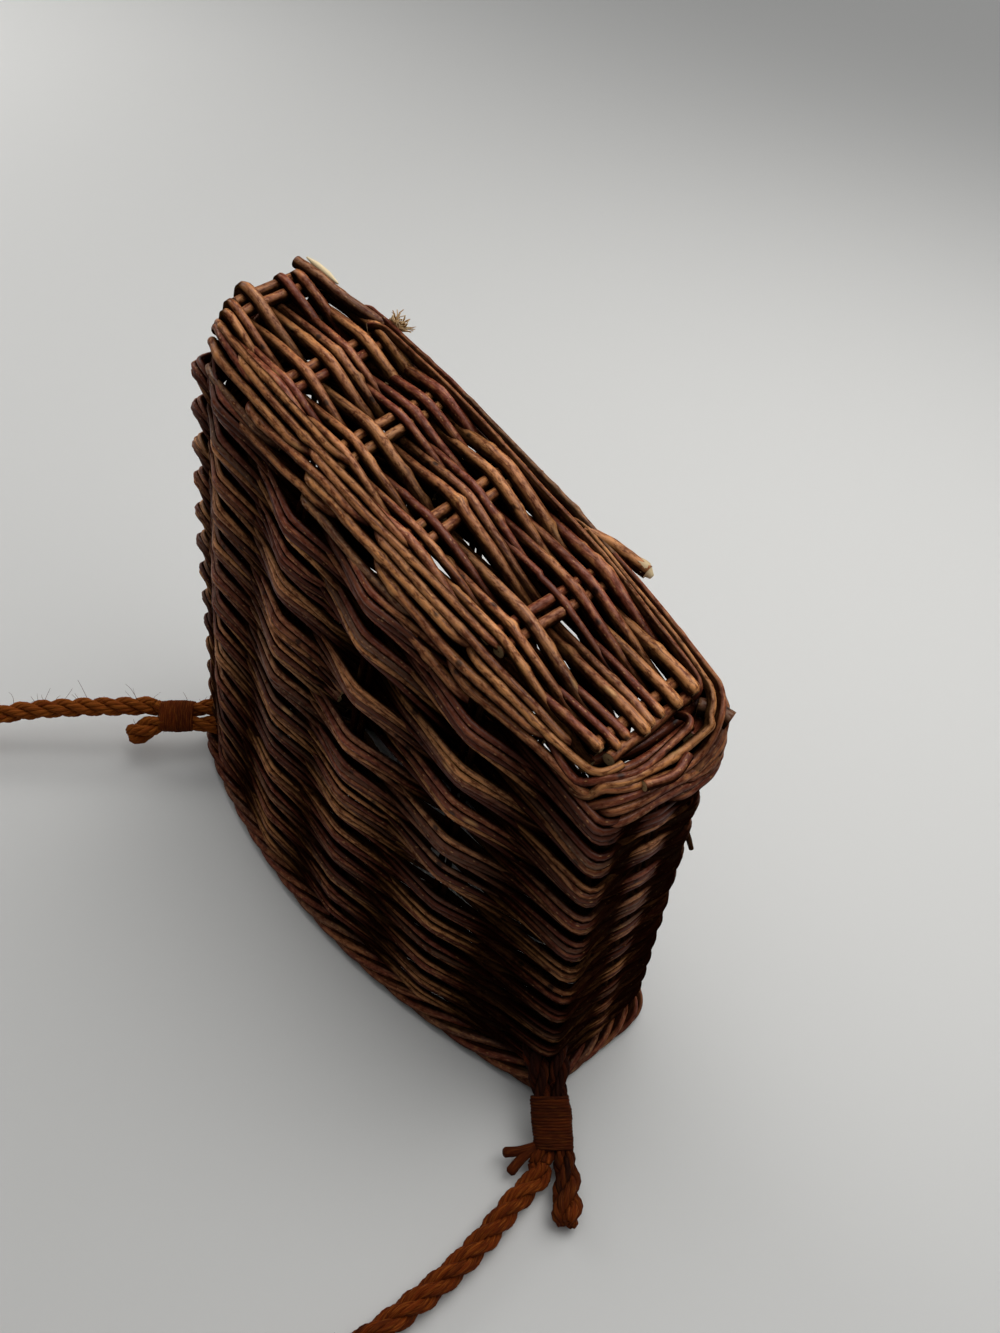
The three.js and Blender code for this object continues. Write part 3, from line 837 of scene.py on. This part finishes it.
# Shoulder: the rods between the base and the wall, each going over the end of the one before it
shoulder = {
    "place": (-0.2, 0, 0.25, 0.5, 0.75, 1.0, 1.25, 1.5, 1.75, 2.1),
    "frontInset": (12.8, 10, 6.6, 4.0, 2.2, 1.2, 0.6, 0.2, 0, 0),
    "frontDrop": (2.2, 2.4, 3.9, 6.4, 9.8, 14, 18.5, 23, 27.5, 33),
    "backInset": (9.5, 7, 4.2, 1.6, 0.9, 0.8, 0.6, 0.4, 0.2, 0),
    "backDrop": (2.4, 2.2, 1.2, 0.8, 4.2, 7.8, 12, 16.5, 21, 27),
    "backAt": ((6.3, 7.2, 12.3, 13.3), (0, 1, 1, 0)),   # stations, and how far the back's shape holds there
    "dive": 0.2, "diveDepth": 3.2, "step": 0.03, "placeScale": 2.7, "stationLength": 40,
    "taper": (1.06, 0.94), "bigKnot": 0.16, "smallKnots": 2, "knotSizes": (0.06, 0.14),
}
# each rod: its radius and tint, its own values, and its course as (station, place down the shoulder), where
# the place is 0 at the base and 1 on the wall
shoulderRods = [
    (1.35, 0.85, {"knots": (0.9,)}, (-0.9, 1.25), (-0.5, 0.95), (-0.2, 0.66), (0, 0.48), (0.2, 0.39),
     (0.6, 0.28), (1, 0.17), (1.4, 0.08), (1.9, 0.02)),
    (1.4, 0.4, {}, (-0.9, 1.5), (-0.5, 1.15), (-0.2, 0.84), (0, 0.6), (0.3, 0.5), (0.55, 0.47),
     (0.95, 0.5)),
    (1.65, 0.7, {"knots": (0.4,)}, (-0.9, 1.8), (-0.5, 1.45), (-0.2, 1.12), (0, 0.91), (0.2, 0.8),
     (0.6, 0.75), (1, 0.64), (1.4, 0.55), (1.65, 0.5)),
    (1.5, 0.5, {"grey": True}, (-0.9, 2.1), (-0.5, 1.9), (-0.2, 1.63), (0.1, 1.34), (0.4, 1.21),
     (0.7, 1.12), (1, 1.05), (1.3, 1.0)),
    (1.35, 0.75, {"knots": (1.58,)}, (0.5, 0.44), (0.8, 0.39), (1.2, 0.35), (1.58, 0.28), (1.8, 0.21),
     (2.2, 0.1), (2.46, 0.08), (2.9, 0.05)),
    (1.35, 0.75, {"knots": (2.52,)}, (1.6, 0.42), (1.75, 0.37), (2, 0.34), (2.5, 0.28), (2.8, 0.23),
     (3.2, 0.17), (3.5, 0.155), (3.9, 0.17)),
    (1.55, 0.6, {"knots": (1.16,)}, (0.85, 0.92), (1.16, 0.855), (1.4, 0.75), (1.7, 0.62), (2, 0.51),
     (2.4, 0.48)),
    (1.6, 0.9, {"knots": (2.7,)}, (1.7, 0.82), (2.1, 0.69), (2.4, 0.68), (2.8, 0.63), (3.1, 0.6),
     (3.6, 0.62)),
    (1.5, 0.55, {"knots": (0.95,)}, (0.8, 1.33), (1.2, 1.21), (1.5, 1.12), (1.8, 0.98), (2.1, 0.92)),
    (1.5, 0.4, {"grey": True}, (1.7, 1.24), (2, 1.14), (2.3, 1.12), (2.6, 1.1), (2.9, 1.07),
     (3.1, 1.05)),
    (1.35, 0.7, {"knots": (3.5,)}, (2.5, 0.46), (2.7, 0.42), (3.2, 0.43), (3.48, 0.42), (3.8, 0.42),
     (4.1, 0.44), (4.4, 0.47), (4.65, 0.52)),
    (1.3, 0.9, {"knots": (3.95, 4.43), "cut": True}, (3.6, 0.66), (3.9, 0.64), (4.2, 0.63), (4.4, 0.63),
     (4.7, 0.6), (4.84, 0.53), (5, 0.37), (5.14, 0.23)),
    (1.6, 0.65, {"knots": (2.9,)}, (2.6, 0.8), (2.96, 0.89), (3.2, 0.9), (3.5, 0.93), (3.8, 0.89),
     (4.1, 0.84), (4.4, 0.78)),
    (1.25, 0.3, {}, (4.4, 0.78), (4.66, 0.93), (4.72, 0.87), (4.8, 0.75), (5, 0.51), (5.2, 0.42),
     (5.6, 0.42), (6, 0.34), (6.4, 0.23), (6.6, 0.08), (6.75, -0.05)),
    (1.4, 0.55, {"knots": (3.7,)}, (3.45, 1.1), (3.7, 1.16), (3.9, 1.1), (4.2, 1.02), (4.5, 0.98),
     (4.75, 0.98), (5, 0.7), (5.3, 0.62), (5.6, 0.72), (6, 0.84), (6.4, 0.9)),
    (1.7, 0.7, {"knots": (3.3,)}, (2.6, 1.22), (2.9, 1.29), (3.2, 1.32), (3.5, 1.38), (3.75, 1.42)),
    (1.4, 0.9, {"knots": (6.0, 6.66)}, (4.55, 1.2), (4.8, 0.98), (5, 0.62), (5.3, 0.52), (5.8, 0.56),
     (6.1, 0.55), (6.4, 0.51), (6.6, 0.48), (6.7, 0.37), (6.8, 0.26), (7, 0.22), (7.2, 0.24), (7.6, 0.3),
     (8.2, 0.32), (8.9, 0.4)),
    (1.45, 0.45, {}, (4.7, 1.35), (5, 0.95), (5.3, 0.8), (5.6, 0.83), (6, 0.9), (6.4, 0.85), (6.6, 0.7),
     (6.8, 0.5), (7, 0.45), (7.4, 0.46), (8, 0.5), (8.5, 0.55), (8.9, 0.75)),
    (1.7, 0.5, {"knots": (8.9,), "grey": True}, (8, 0.75), (8.5, 0.55), (9.2, 0.47), (9.8, 0.46),
     (10.3, 0.55), (10.7, 0.75)),
    (1.7, 0.35, {}, (9.7, 0.75), (10.2, 0.55), (10.7, 0.48), (11.1, 0.5), (11.5, 0.6)),
    (1.5, 0.6, {}, (7.1, 0.12), (7.6, 0.15), (8.4, 0.22), (9.2, 0.18), (10, 0.26), (10.8, 0.28),
     (11.3, 0.25)),
    (1.6, 0.55, {}, (6.2, 1.15), (6.8, 0.9), (7.4, 0.8), (8.5, 0.78), (9.5, 0.82), (10.5, 0.78),
     (11.6, 0.8), (12.2, 0.95), (12.8, 1.2), (13.2, 1.5)),
    (1.6, 0.4, {}, (6.4, 1.4), (7, 1.15), (8.5, 1.05), (10, 1.08), (11.5, 1.05), (12.2, 1.15),
     (12.8, 1.45), (13.4, 1.8)),
    (1.6, 0.5, {}, (4.9, 1.15), (5.3, 0.98), (5.8, 1.02), (6.4, 1.12), (6.8, 1.15), (7.2, 1.2),
     (8, 1.25), (8.9, 1.35)),
    (1.6, 0.35, {}, (4.95, 1.35), (5.4, 1.18), (5.9, 1.22), (6.4, 1.36), (6.8, 1.45), (7.2, 1.5),
     (8, 1.5), (8.9, 1.6)),
    (1.6, 0.45, {}, (6.1, 1.1), (6.5, 1.25), (6.9, 1.32), (7.4, 1.36), (8.2, 1.4), (9.2, 1.5)),
    (1.5, 0.3, {}, (6.0, 1.4), (6.5, 1.55), (6.9, 1.62), (7.4, 1.63), (8.2, 1.58), (9.4, 1.6)),
    (1.6, 0.5, {}, (6.8, 1.75), (8.5, 1.45), (10, 1.33), (11.5, 1.3), (12.4, 1.5), (13, 1.8)),
]


def shoulderPoint(station, place, inward):
    back = between(station % lap, *shoulder["backAt"])
    inset, drop = (lerp(between(place, shoulder["place"], shoulder["front" + key]),
                        between(place, shoulder["place"], shoulder["back" + key]), back)
                   for key in ("Inset", "Drop"))
    x, y, top = outlinePoint(station, 0.0, inset + inward)
    return Vector((x, y, top - drop - 0.5 * inward))


def shoulderRod(index, radius, tint, own, *course):
    rng = random.Random(300 + index)
    seed = rng.uniform(0, 60)
    scale = shoulder["placeScale"]
    guide = smoothPath([(station, place * scale, 0) for station, place in course], shoulder["step"])
    first, last = course[0][0], course[-1][0]
    length = shoulder["stationLength"]
    knots = [(spot * length, shoulder["bigKnot"]) for spot in own.get("knots", ())]
    for n in range(shoulder["smallKnots"]):
        knots.append((rng.uniform(first, last) * length, rng.uniform(*shoulder["knotSizes"])))
    points, radii, tints, faces = [], [], [], []
    for i, spot in enumerate(guide):
        station = spot.x
        dive = max(0, 1 - (station - first) / shoulder["dive"]) ** 2
        if "cut" not in own:
            dive += max(0, 1 - (last - station) / shoulder["dive"]) ** 2
        place = spot.y / scale + 0.025 * wobble(station * 2.1, seed + 4)
        swell = knotSwell(station * length, knots)
        points.append(shoulderPoint(station, place, shoulder["diveDepth"] * dive - 0.6 * swell))
        # the way the painted light comes from: out of the shoulder and up
        outward = shoulderPoint(station, place, -1) - shoulderPoint(station, place, 1)
        faces.append(tuple((outward.normalized() + Vector((0, 0, 0.6))).normalized()))
        girth = radius * lerp(*shoulder["taper"], i / (len(guide) - 1))
        radii.append(girth * (1 + 0.07 * wobble(station * 5, seed + 2) + swell))
        # ends painted in shade where they dive under other rods
        tints.append(tint + 0.3 * wobble(station * 1.3, seed + 7) + 1.4 * swell - 0.5 * dive)
    tone = 1.0 if "grey" in own else rng.uniform(0, 0.8)
    return makeRod(points, radii, seed, tints, tone, faces, 0.5)


willowPiece("shoulderRods", [shoulderRod(i, *row) for i, row in enumerate(shoulderRods)], 12, "wall")
print("shoulder made")

# Odd ends on the edge: a snapped rod with a peeled sliver and frayed end, cut butts and stubs. Each has its
# tint and tone, its radius at both ends, and its way
oddEnds = [
    (0.25, 0.9, (2.2, 2.2), (-102, 21.2, 200.4), (-92, 23.2, 198.4), (-81.5, 24.6, 195.8),
     (-69, 27.6, 192.8), (-60.5, 31, 190.6)),
    (0.9, 0.3, (2.2, 2.3), (34, 31, 166), (42.5, 34, 164.9), (48.5, 35.4, 163.5), (55.6, 37, 161.6)),
    (-0.2, 0.9, (2.8, 3.1), (94, 20.5, 145.6), (98, 23, 145.6), (102.8, 24.6, 144.4)),
    (0.9, 0.1, (1.9, 1.8), (2, 29, 173.4), (7, 32, 173), (11, 33.4, 172.4)),
    (0.1, 0.3, (2.1, 2.1), (98.5, 13, 141), (95.5, 20.5, 140), (90, 25, 140.5), (80, 27, 143)),
    (0.2, 0.3, (1.5, 1.5), (104, 6, 143), (106, -2, 142), (104, -12, 142.5)),
    (0.2, 0.3, (1.7, 1.7), (96, -19, 143), (97.5, -4, 142.5), (96.5, 15, 143)),
    (0.1, 0.3, (2.2, 2.2), (88.5, -20, 142.5), (92.3, -6, 142), (92.5, 12, 142), (90.8, 25, 142.5)),
    (0.7, 0.6, (1.1, 0.8), (100, 23.5, 97), (101.2, 25.6, 92), (102.8, 26.6, 87.6)),
]
sliver = {"way": ((-102, 25.4, 201.2), (-95, 26.6, 199.4), (-87, 27.6, 197.2)), "radius": 1.2}
stubTip = {"way": ((50.5, 35.8, 163), (54, 36.8, 162.3), (57.4, 37.2, 160.8)), "radius": (2.0, 2.5, 0.8)}
tuft = {
    "place": (-61.8, 32.8, 191.4), "fibres": 80, "length": (2.0, 5.5), "radius": 0.3,
    "thickness": (0.5, 1.3), "bow": 0.7, "parts": (0, 0.33, 0.67, 1), "taper": (1.2, 1.1, 0.9, 0.5),
}


def oddEndRods():
    rods = []
    for k, (tint, tone, radius, *way) in enumerate(oddEnds):
        path = smoothPath(way, 1.0)
        last = len(path) - 1
        radii = [lerp(*radius, i / last) * (1 + 0.08 * wobble(i * 0.3, k)) for i in range(last + 1)]
        tints = [tint + 0.3 * wobble(i * 0.15, k + 5) for i in range(last + 1)]
        rods.append(makeRod(path, radii, 40.3 + k, tints, tone, high=0.5))
    return rods


def paleFibres():
    rng = random.Random(64)
    path = smoothPath(sliver["way"], 1.0)
    last = len(path) - 1
    radii = [sliver["radius"] * min(1, 0.25 + 2.5 * min(i, last - i) / last) for i in range(last + 1)]
    rods = [makeRod(path, radii, 1.0, 1.0)]
    for n in range(tuft["fibres"]):
        aim = anyVector(rng, (-0.5, 0.9), (-0.4, 0.8), (-0.3, 1.0)).normalized()
        start = Vector(tuft["place"]) + anyVector(rng, (-2, 2), (-1, 1), (-1.2, 0.6))
        reach = aim * rng.uniform(*tuft["length"])
        bow = anyVector(rng, (-1, 1), (-1, 1), (-1, 1)) * tuft["bow"]
        points = bowedPoints(start, reach, bow, tuft["parts"])
        radii = [tuft["radius"] * rng.uniform(*tuft["thickness"]) * k for k in tuft["taper"]]
        rods.append(makeRod(points, radii, rng.uniform(0, 9), rng.uniform(0, 0.5)))
    path = smoothPath(stubTip["way"], 1.0)
    last = len(path) - 1
    radii = [between(i / last, (0, 0.55, 1), stubTip["radius"]) for i in range(last + 1)]
    rods.append(makeRod(path, radii, 2.0, [0.2 + 0.7 * i / last for i in range(last + 1)]))
    return rods


willowPiece("oddEnds", oddEndRods(), 12)
rodPiece("paleFibres", paleFibres(), 6, [], peeledMaterial)
print("odd ends made")

# Wall: rows of thin rods, each over one stake pair and under the next. Short rows fill the high end
stakeAt = (-0.2, 0.68, 1.77, 2.74, 3.81, 4.9, 5.95, 6.95, 7.95, 8.95, 9.95, 10.95, 11.95, 12.9)
wall = {
    "fullRows": 22, "shortRows": {11: (-4.4, 3.75), 15: (-3.4, 2.8), 18: (-3.6, 2.6)},
    "lowest": 12.5, "nearTop": 131, "farTop": 181, "crowding": 1.2, "fivePitch": 6.6, "fullShare": 0.7,
    "depth": 4.5, "endDepth": 4.4, "sag": 8, "thick": 1.08, "thin": 0.95, "fewer": 1.18, "perStation": 16,
    # how high a row's band is, in rows: outside, inside, where it crosses the wall, and at the near end
    "heights": (1.24, 1.95, 1.3, 1.12),
    "edge": 0.985, "steep": 0.3, "loose": 0.16, "dive": 0.3, "diveDepth": 2.5, "taper": (1.1, 0.88),
    "joins": (8, 9, 10, 11, 12), "overlap": 14.4, "span": 208, "endShift": 7.6,
    "paleShare": 0.34, "pale": (0.65, 1.0), "dark": (-0.3, 0.45),
    # pair numbers, or shares of the height, and how strong each thing is there
    "nearEnd": ((4.9, 5.7, 7.4, 8.2), (0, 1, 1, 0)),
    # where the near end's rods are painted in shade
    "paintedShade": ((3.8, 5.3, 6.1, 6.7, 7.8, 8.6), (0, 0.6, 0.6, 1, 1, 0)),
    "sagAt": ((4.9, 6.9, 8, 11), (0, 1, 0.8, 0)),
    # rows near the mouth: flatter, and painted in shade
    "lowRows": ((0.25, 0.6), (0.5, 0)),
}
sideSteps = 8


def stationAt(q):
    laps, place = divmod(q, lap)
    return lap * laps + between(place, range(lap + 1), (*stakeAt, stakeAt[0] + lap))


def wallSpot(station, z, out):
    top = outlinePoint(station, 0.5, 0)[2]
    x, y = outlinePoint(station, 1 - z / top, bag["middle"] - out)[:2]
    return Vector((x, y, z))


def outwardSide(station):
    inner, outer = (Vector(outlinePoint(station, 0.5, inset)[:2]) for inset in (2, 0))
    return (outer - inner).normalized().to_3d()


outwardSides = [outwardSide(n / sideSteps) for n in range(lap * sideSteps)]


def outwardAt(station):
    # the way out of the wall, leaning up to where the rods are painted lightest, as if lit from above, and
    # polished most
    side = outwardSides[round(station * sideSteps) % (lap * sideSteps)]
    return tuple((side + Vector((0, 0, 0.5))).normalized())


def rowLevel(top, share):
    # rows crowd towards the mouth
    return wall["lowest"] + (top - wall["lowest"]) * share ** wall["crowding"]


def planRows():
    rows = []
    for k in range(wall["fullRows"]):
        rows.append({"step": k, "ends": None})
        if k in wall["shortRows"]:
            for third in (1 / 3, 2 / 3):
                rows.append({"step": k + third, "ends": wall["shortRows"][k]})
    last = len(rows) - 1
    farLevels = [rowLevel(wall["farTop"], index / last) for index in range(last + 1)]
    for index, row in enumerate(rows):
        row["index"] = index
        row["near"] = rowLevel(wall["nearTop"], row["step"] / (wall["fullRows"] - 1))
        row["far"] = farLevels[index]
        below = max(index, 1) - 1
        row["pitch"] = farLevels[below + 1] - farLevels[below]
    return rows


wallRows = planRows()


def rowRods(row):
    rng = random.Random(500 + row["index"])
    part = row["index"] / (len(wallRows) - 1)
    most = 5 if row["pitch"] > wall["fivePitch"] else 4
    count = most if rng.random() < wall["fullShare"] else most - 1
    size = lerp(wall["thin"], wall["thick"], part) * (1.0 if count == most else wall["fewer"])
    fan, wide, pinch, flat = ((height * row["pitch"] - 2 * size) / (count - 1)
                              for height in wall["heights"])
    low = between(part, *wall["lowRows"])
    rods = []
    for j in range(count):
        seed = rng.uniform(0, 90)
        if row["ends"]:
            first, last = (q + rng.uniform(-0.12, 0.12) for q in row["ends"])
        else:
            first = rng.choice(wall["joins"])
            first += (first + row["index"] + 1) % 2 - 0.2
            last = first + wall["overlap"]
        steps = round((last - first) * wall["perStation"])
        tint = rng.uniform(*wall["pale" if rng.random() < wall["paleShare"] else "dark"])
        tone = rng.uniform(0, 0.9)
        offset = 2 * j / (count - 1) - 1
        points, radii, faces, high, tints = [], [], [], [], []
        for i in range(steps + 1):
            q = lerp(first, last, i / steps)
            nearEnd, nearShade, sag = (between(q % lap, *wall[key]) for key in ("nearEnd", "paintedShade", "sagAt"))
            p = stationAt(q)
            x = outlinePoint(p, 0.5, 0)[0]
            level = lerp(row["far"], row["near"], max(0, min(1, 0.5 + x / wall["span"])))
            level -= wall["sag"] * part * sag
            cross = math.cos(math.pi * (q + row["index"]))
            wave = softWave(cross, wall["edge"])
            wave *= abs(wave) ** wall["steep"]
            over = abs(cross)
            loose = 1 + wall["loose"] * wobble(q * 0.6, row["index"] * 1.7)
            spread = lerp(lerp(pinch, fan if wave > 0 else wide, over * over), flat, nearEnd) * loose
            dive = sum(max(0, 1 - run / wall["dive"]) for run in (q - first, last - q))
            atEnd = max(0, 1 - abs((q + wall["endShift"]) % lap - lap / 2))
            depth = wall["depth"] + wall["endDepth"] * atEnd * max(0, wave)
            out = depth * wave * (1 - 0.32 * offset * offset) * (1 - 0.7 * max(low, nearEnd))
            out += (-1) ** j * 0.35 * size * (1 - over)
            out += 0.3 * wobble(q * 0.7, seed) - wall["diveDepth"] * dive
            z = level + (j - (count - 1) / 2) * spread + 0.28 * wobble(q * 0.6, seed + 3)
            z += 0.8 * wobble(q * 0.35, row["index"] * 2.3 + 11)
            points.append(wallSpot(p, z, out))
            faces.append(outwardAt(p))
            # painted light and shade: bands over the stakes lighter and under them darker, higher rows
            # lighter, rows towards the mouth darker, and the near end painted in shade, its tint too
            height = (1.5 - 0.6 * low) * wave - 0.8 + 0.65 * part - 0.4 * low
            high.append(height - 0.9 * nearShade - 0.5 * nearShade ** 3)
            tints.append(tint + 0.2 * wobble(q * 0.9, seed + 6) - 0.15 * nearShade - 0.45 * nearShade ** 3)
            radii.append(size * lerp(*wall["taper"], i / steps) * (1 + 0.06 * wobble(q * 5, seed + 1)))
        rods.append(makeRod(points, radii, seed, tints, tone, faces, high))
    return rods


for n in range(4):
    rows = wallRows[n * 7:n * 7 + 7]
    willowPiece(f"wallRows{n + 1}", [rod for row in rows for rod in rowRods(row)], 8, "wall")
print("wall rows made")

# Stakes: a pair of thin rods at every station, from under the base down into the border
stake = {
    "radius": 1.05, "taper": (1.08, 0.92), "gap": 1.7, "top": 13, "foot": 6, "hook": 6, "hookRun": 0.06,
    "steps": 60,
}


def stakeRods():
    rods = []
    for number, station in enumerate(stakeAt):
        top = outlinePoint(station, 0.0, 0)[2]
        for place in (-1, 1):
            rng = random.Random(900 + number * 2 + place)
            seed = rng.uniform(0, 70)
            points, radii = [], []
            for i in range(stake["steps"] + 1):
                w = i / stake["steps"]
                z = lerp(top - stake["top"], stake["foot"], w)
                inward = stake["hook"] * max(0, 1 - w / stake["hookRun"]) ** 2
                middle = wallSpot(station, z, 0.25 * wobble(w * 6, seed) - inward)
                ahead = (wallSpot(station + 0.02, z, 0) - wallSpot(station - 0.02, z, 0)).normalized()
                points.append(middle + ahead * (place * stake["gap"] + 0.5 * wobble(w * 5, seed + 2)))
                radii.append(stake["radius"] * lerp(*stake["taper"], w))
            tint = rng.uniform(-0.2, 0.4)
            tone = rng.uniform(0, 1)
            # the stakes are painted in shade, as they sit inside the weave
            rods.append(makeRod(points, radii, seed, tint, tone, outwardAt(station), -1.0))
    return rods


willowPiece("stakes", stakeRods(), 8, "wall")
print("stakes made")

# Border: a roll of rods round the mouth
border = {
    "strands": 5, "radius": 1.9, "offset": 2.45, "turns": 9, "height": 4.5, "inset": 3.4, "steps": 420,
}


def borderRods():
    rods = []
    count = border["steps"]
    for strand in range(border["strands"]):
        rng = random.Random(1200 + strand)
        seed = rng.uniform(0, 80)
        points, faces = [], []
        for i in range(count):
            p = lap * i / count
            turn = math.tau * (border["turns"] * i / count + strand / border["strands"])
            inset = border["inset"] - border["offset"] * math.cos(turn)
            x, y = outlinePoint(p, 1.0, inset)[:2]
            z = border["height"] + border["offset"] * math.sin(turn)
            points.append(Vector((x, y, max(z, border["radius"] + 0.1))))
            faces.append(outwardAt(p))
        radii = [border["radius"]] * count
        tint = rng.uniform(0.15, 0.55)
        tone = rng.uniform(0, 1)
        rods.append(makeRod(points, radii, seed, tint, tone, faces, closed=True))
    return rods


willowPiece("borderRoll", borderRods(), 10, "border")
print("border made")

# Floor and light: three soft lamps that shine straight down, a wide ceiling and a little light all round
stage = {
    "floor": rgb(0.60, 0.60, 0.59), "roughness": 0.6, "size": 9.0,
    "lampColor": (1.0, 0.99, 0.97),
    "lamps": {      # place, width and power
        "backLight": ((0.06, 0.4, 0.65), 0.9, 4.9),
        "leftLight": ((-1.4, 0, 0.8), 0.9, 8.8),
        "farLight": ((-0.9, 2.4, 1.2), 1.2, 2.4),
    },
    "ceiling": 0.65, "ceilingAngle": 70, "air": 0.12, "airColor": rgb(0.96, 0.98, 1.0),
}


def makeFloor():
    mesh = bpy.data.meshes.new("floor")
    bm = bmesh.new()
    bmesh.ops.create_grid(bm, x_segments=1, y_segments=1, size=stage["size"])
    bm.to_mesh(mesh)
    bm.free()
    floor = bpy.data.objects.new("floor", mesh)
    bpy.context.collection.objects.link(floor)
    material, s, shader = newMaterial("floorPaper")
    s.fill(shader, {"Base Color": stage["floor"], "Roughness": stage["roughness"]})
    mesh.materials.append(material)


def makeLights():
    for name, (place, width, power) in stage["lamps"].items():
        data = bpy.data.lights.new(name, "AREA")
        data.size = width
        data.energy = power
        data.color = stage["lampColor"]
        lamp = bpy.data.objects.new(name, data)
        bpy.context.collection.objects.link(lamp)
        lamp.location = place
    ceiling = bpy.data.lights.new("ceiling", "SUN")
    ceiling.energy = stage["ceiling"]
    ceiling.angle = math.radians(stage["ceilingAngle"])
    bpy.context.collection.objects.link(bpy.data.objects.new("ceiling", ceiling))
    world = bpy.data.worlds.new("studio")
    world.use_nodes = True
    air = world.node_tree.nodes["Background"].inputs
    air["Color"].default_value = stage["airColor"]
    air["Strength"].default_value = stage["air"]
    bpy.context.scene.world = world
    bpy.context.scene.view_settings.view_transform = "Standard"


makeFloor()
makeLights()
print("floor and light set")
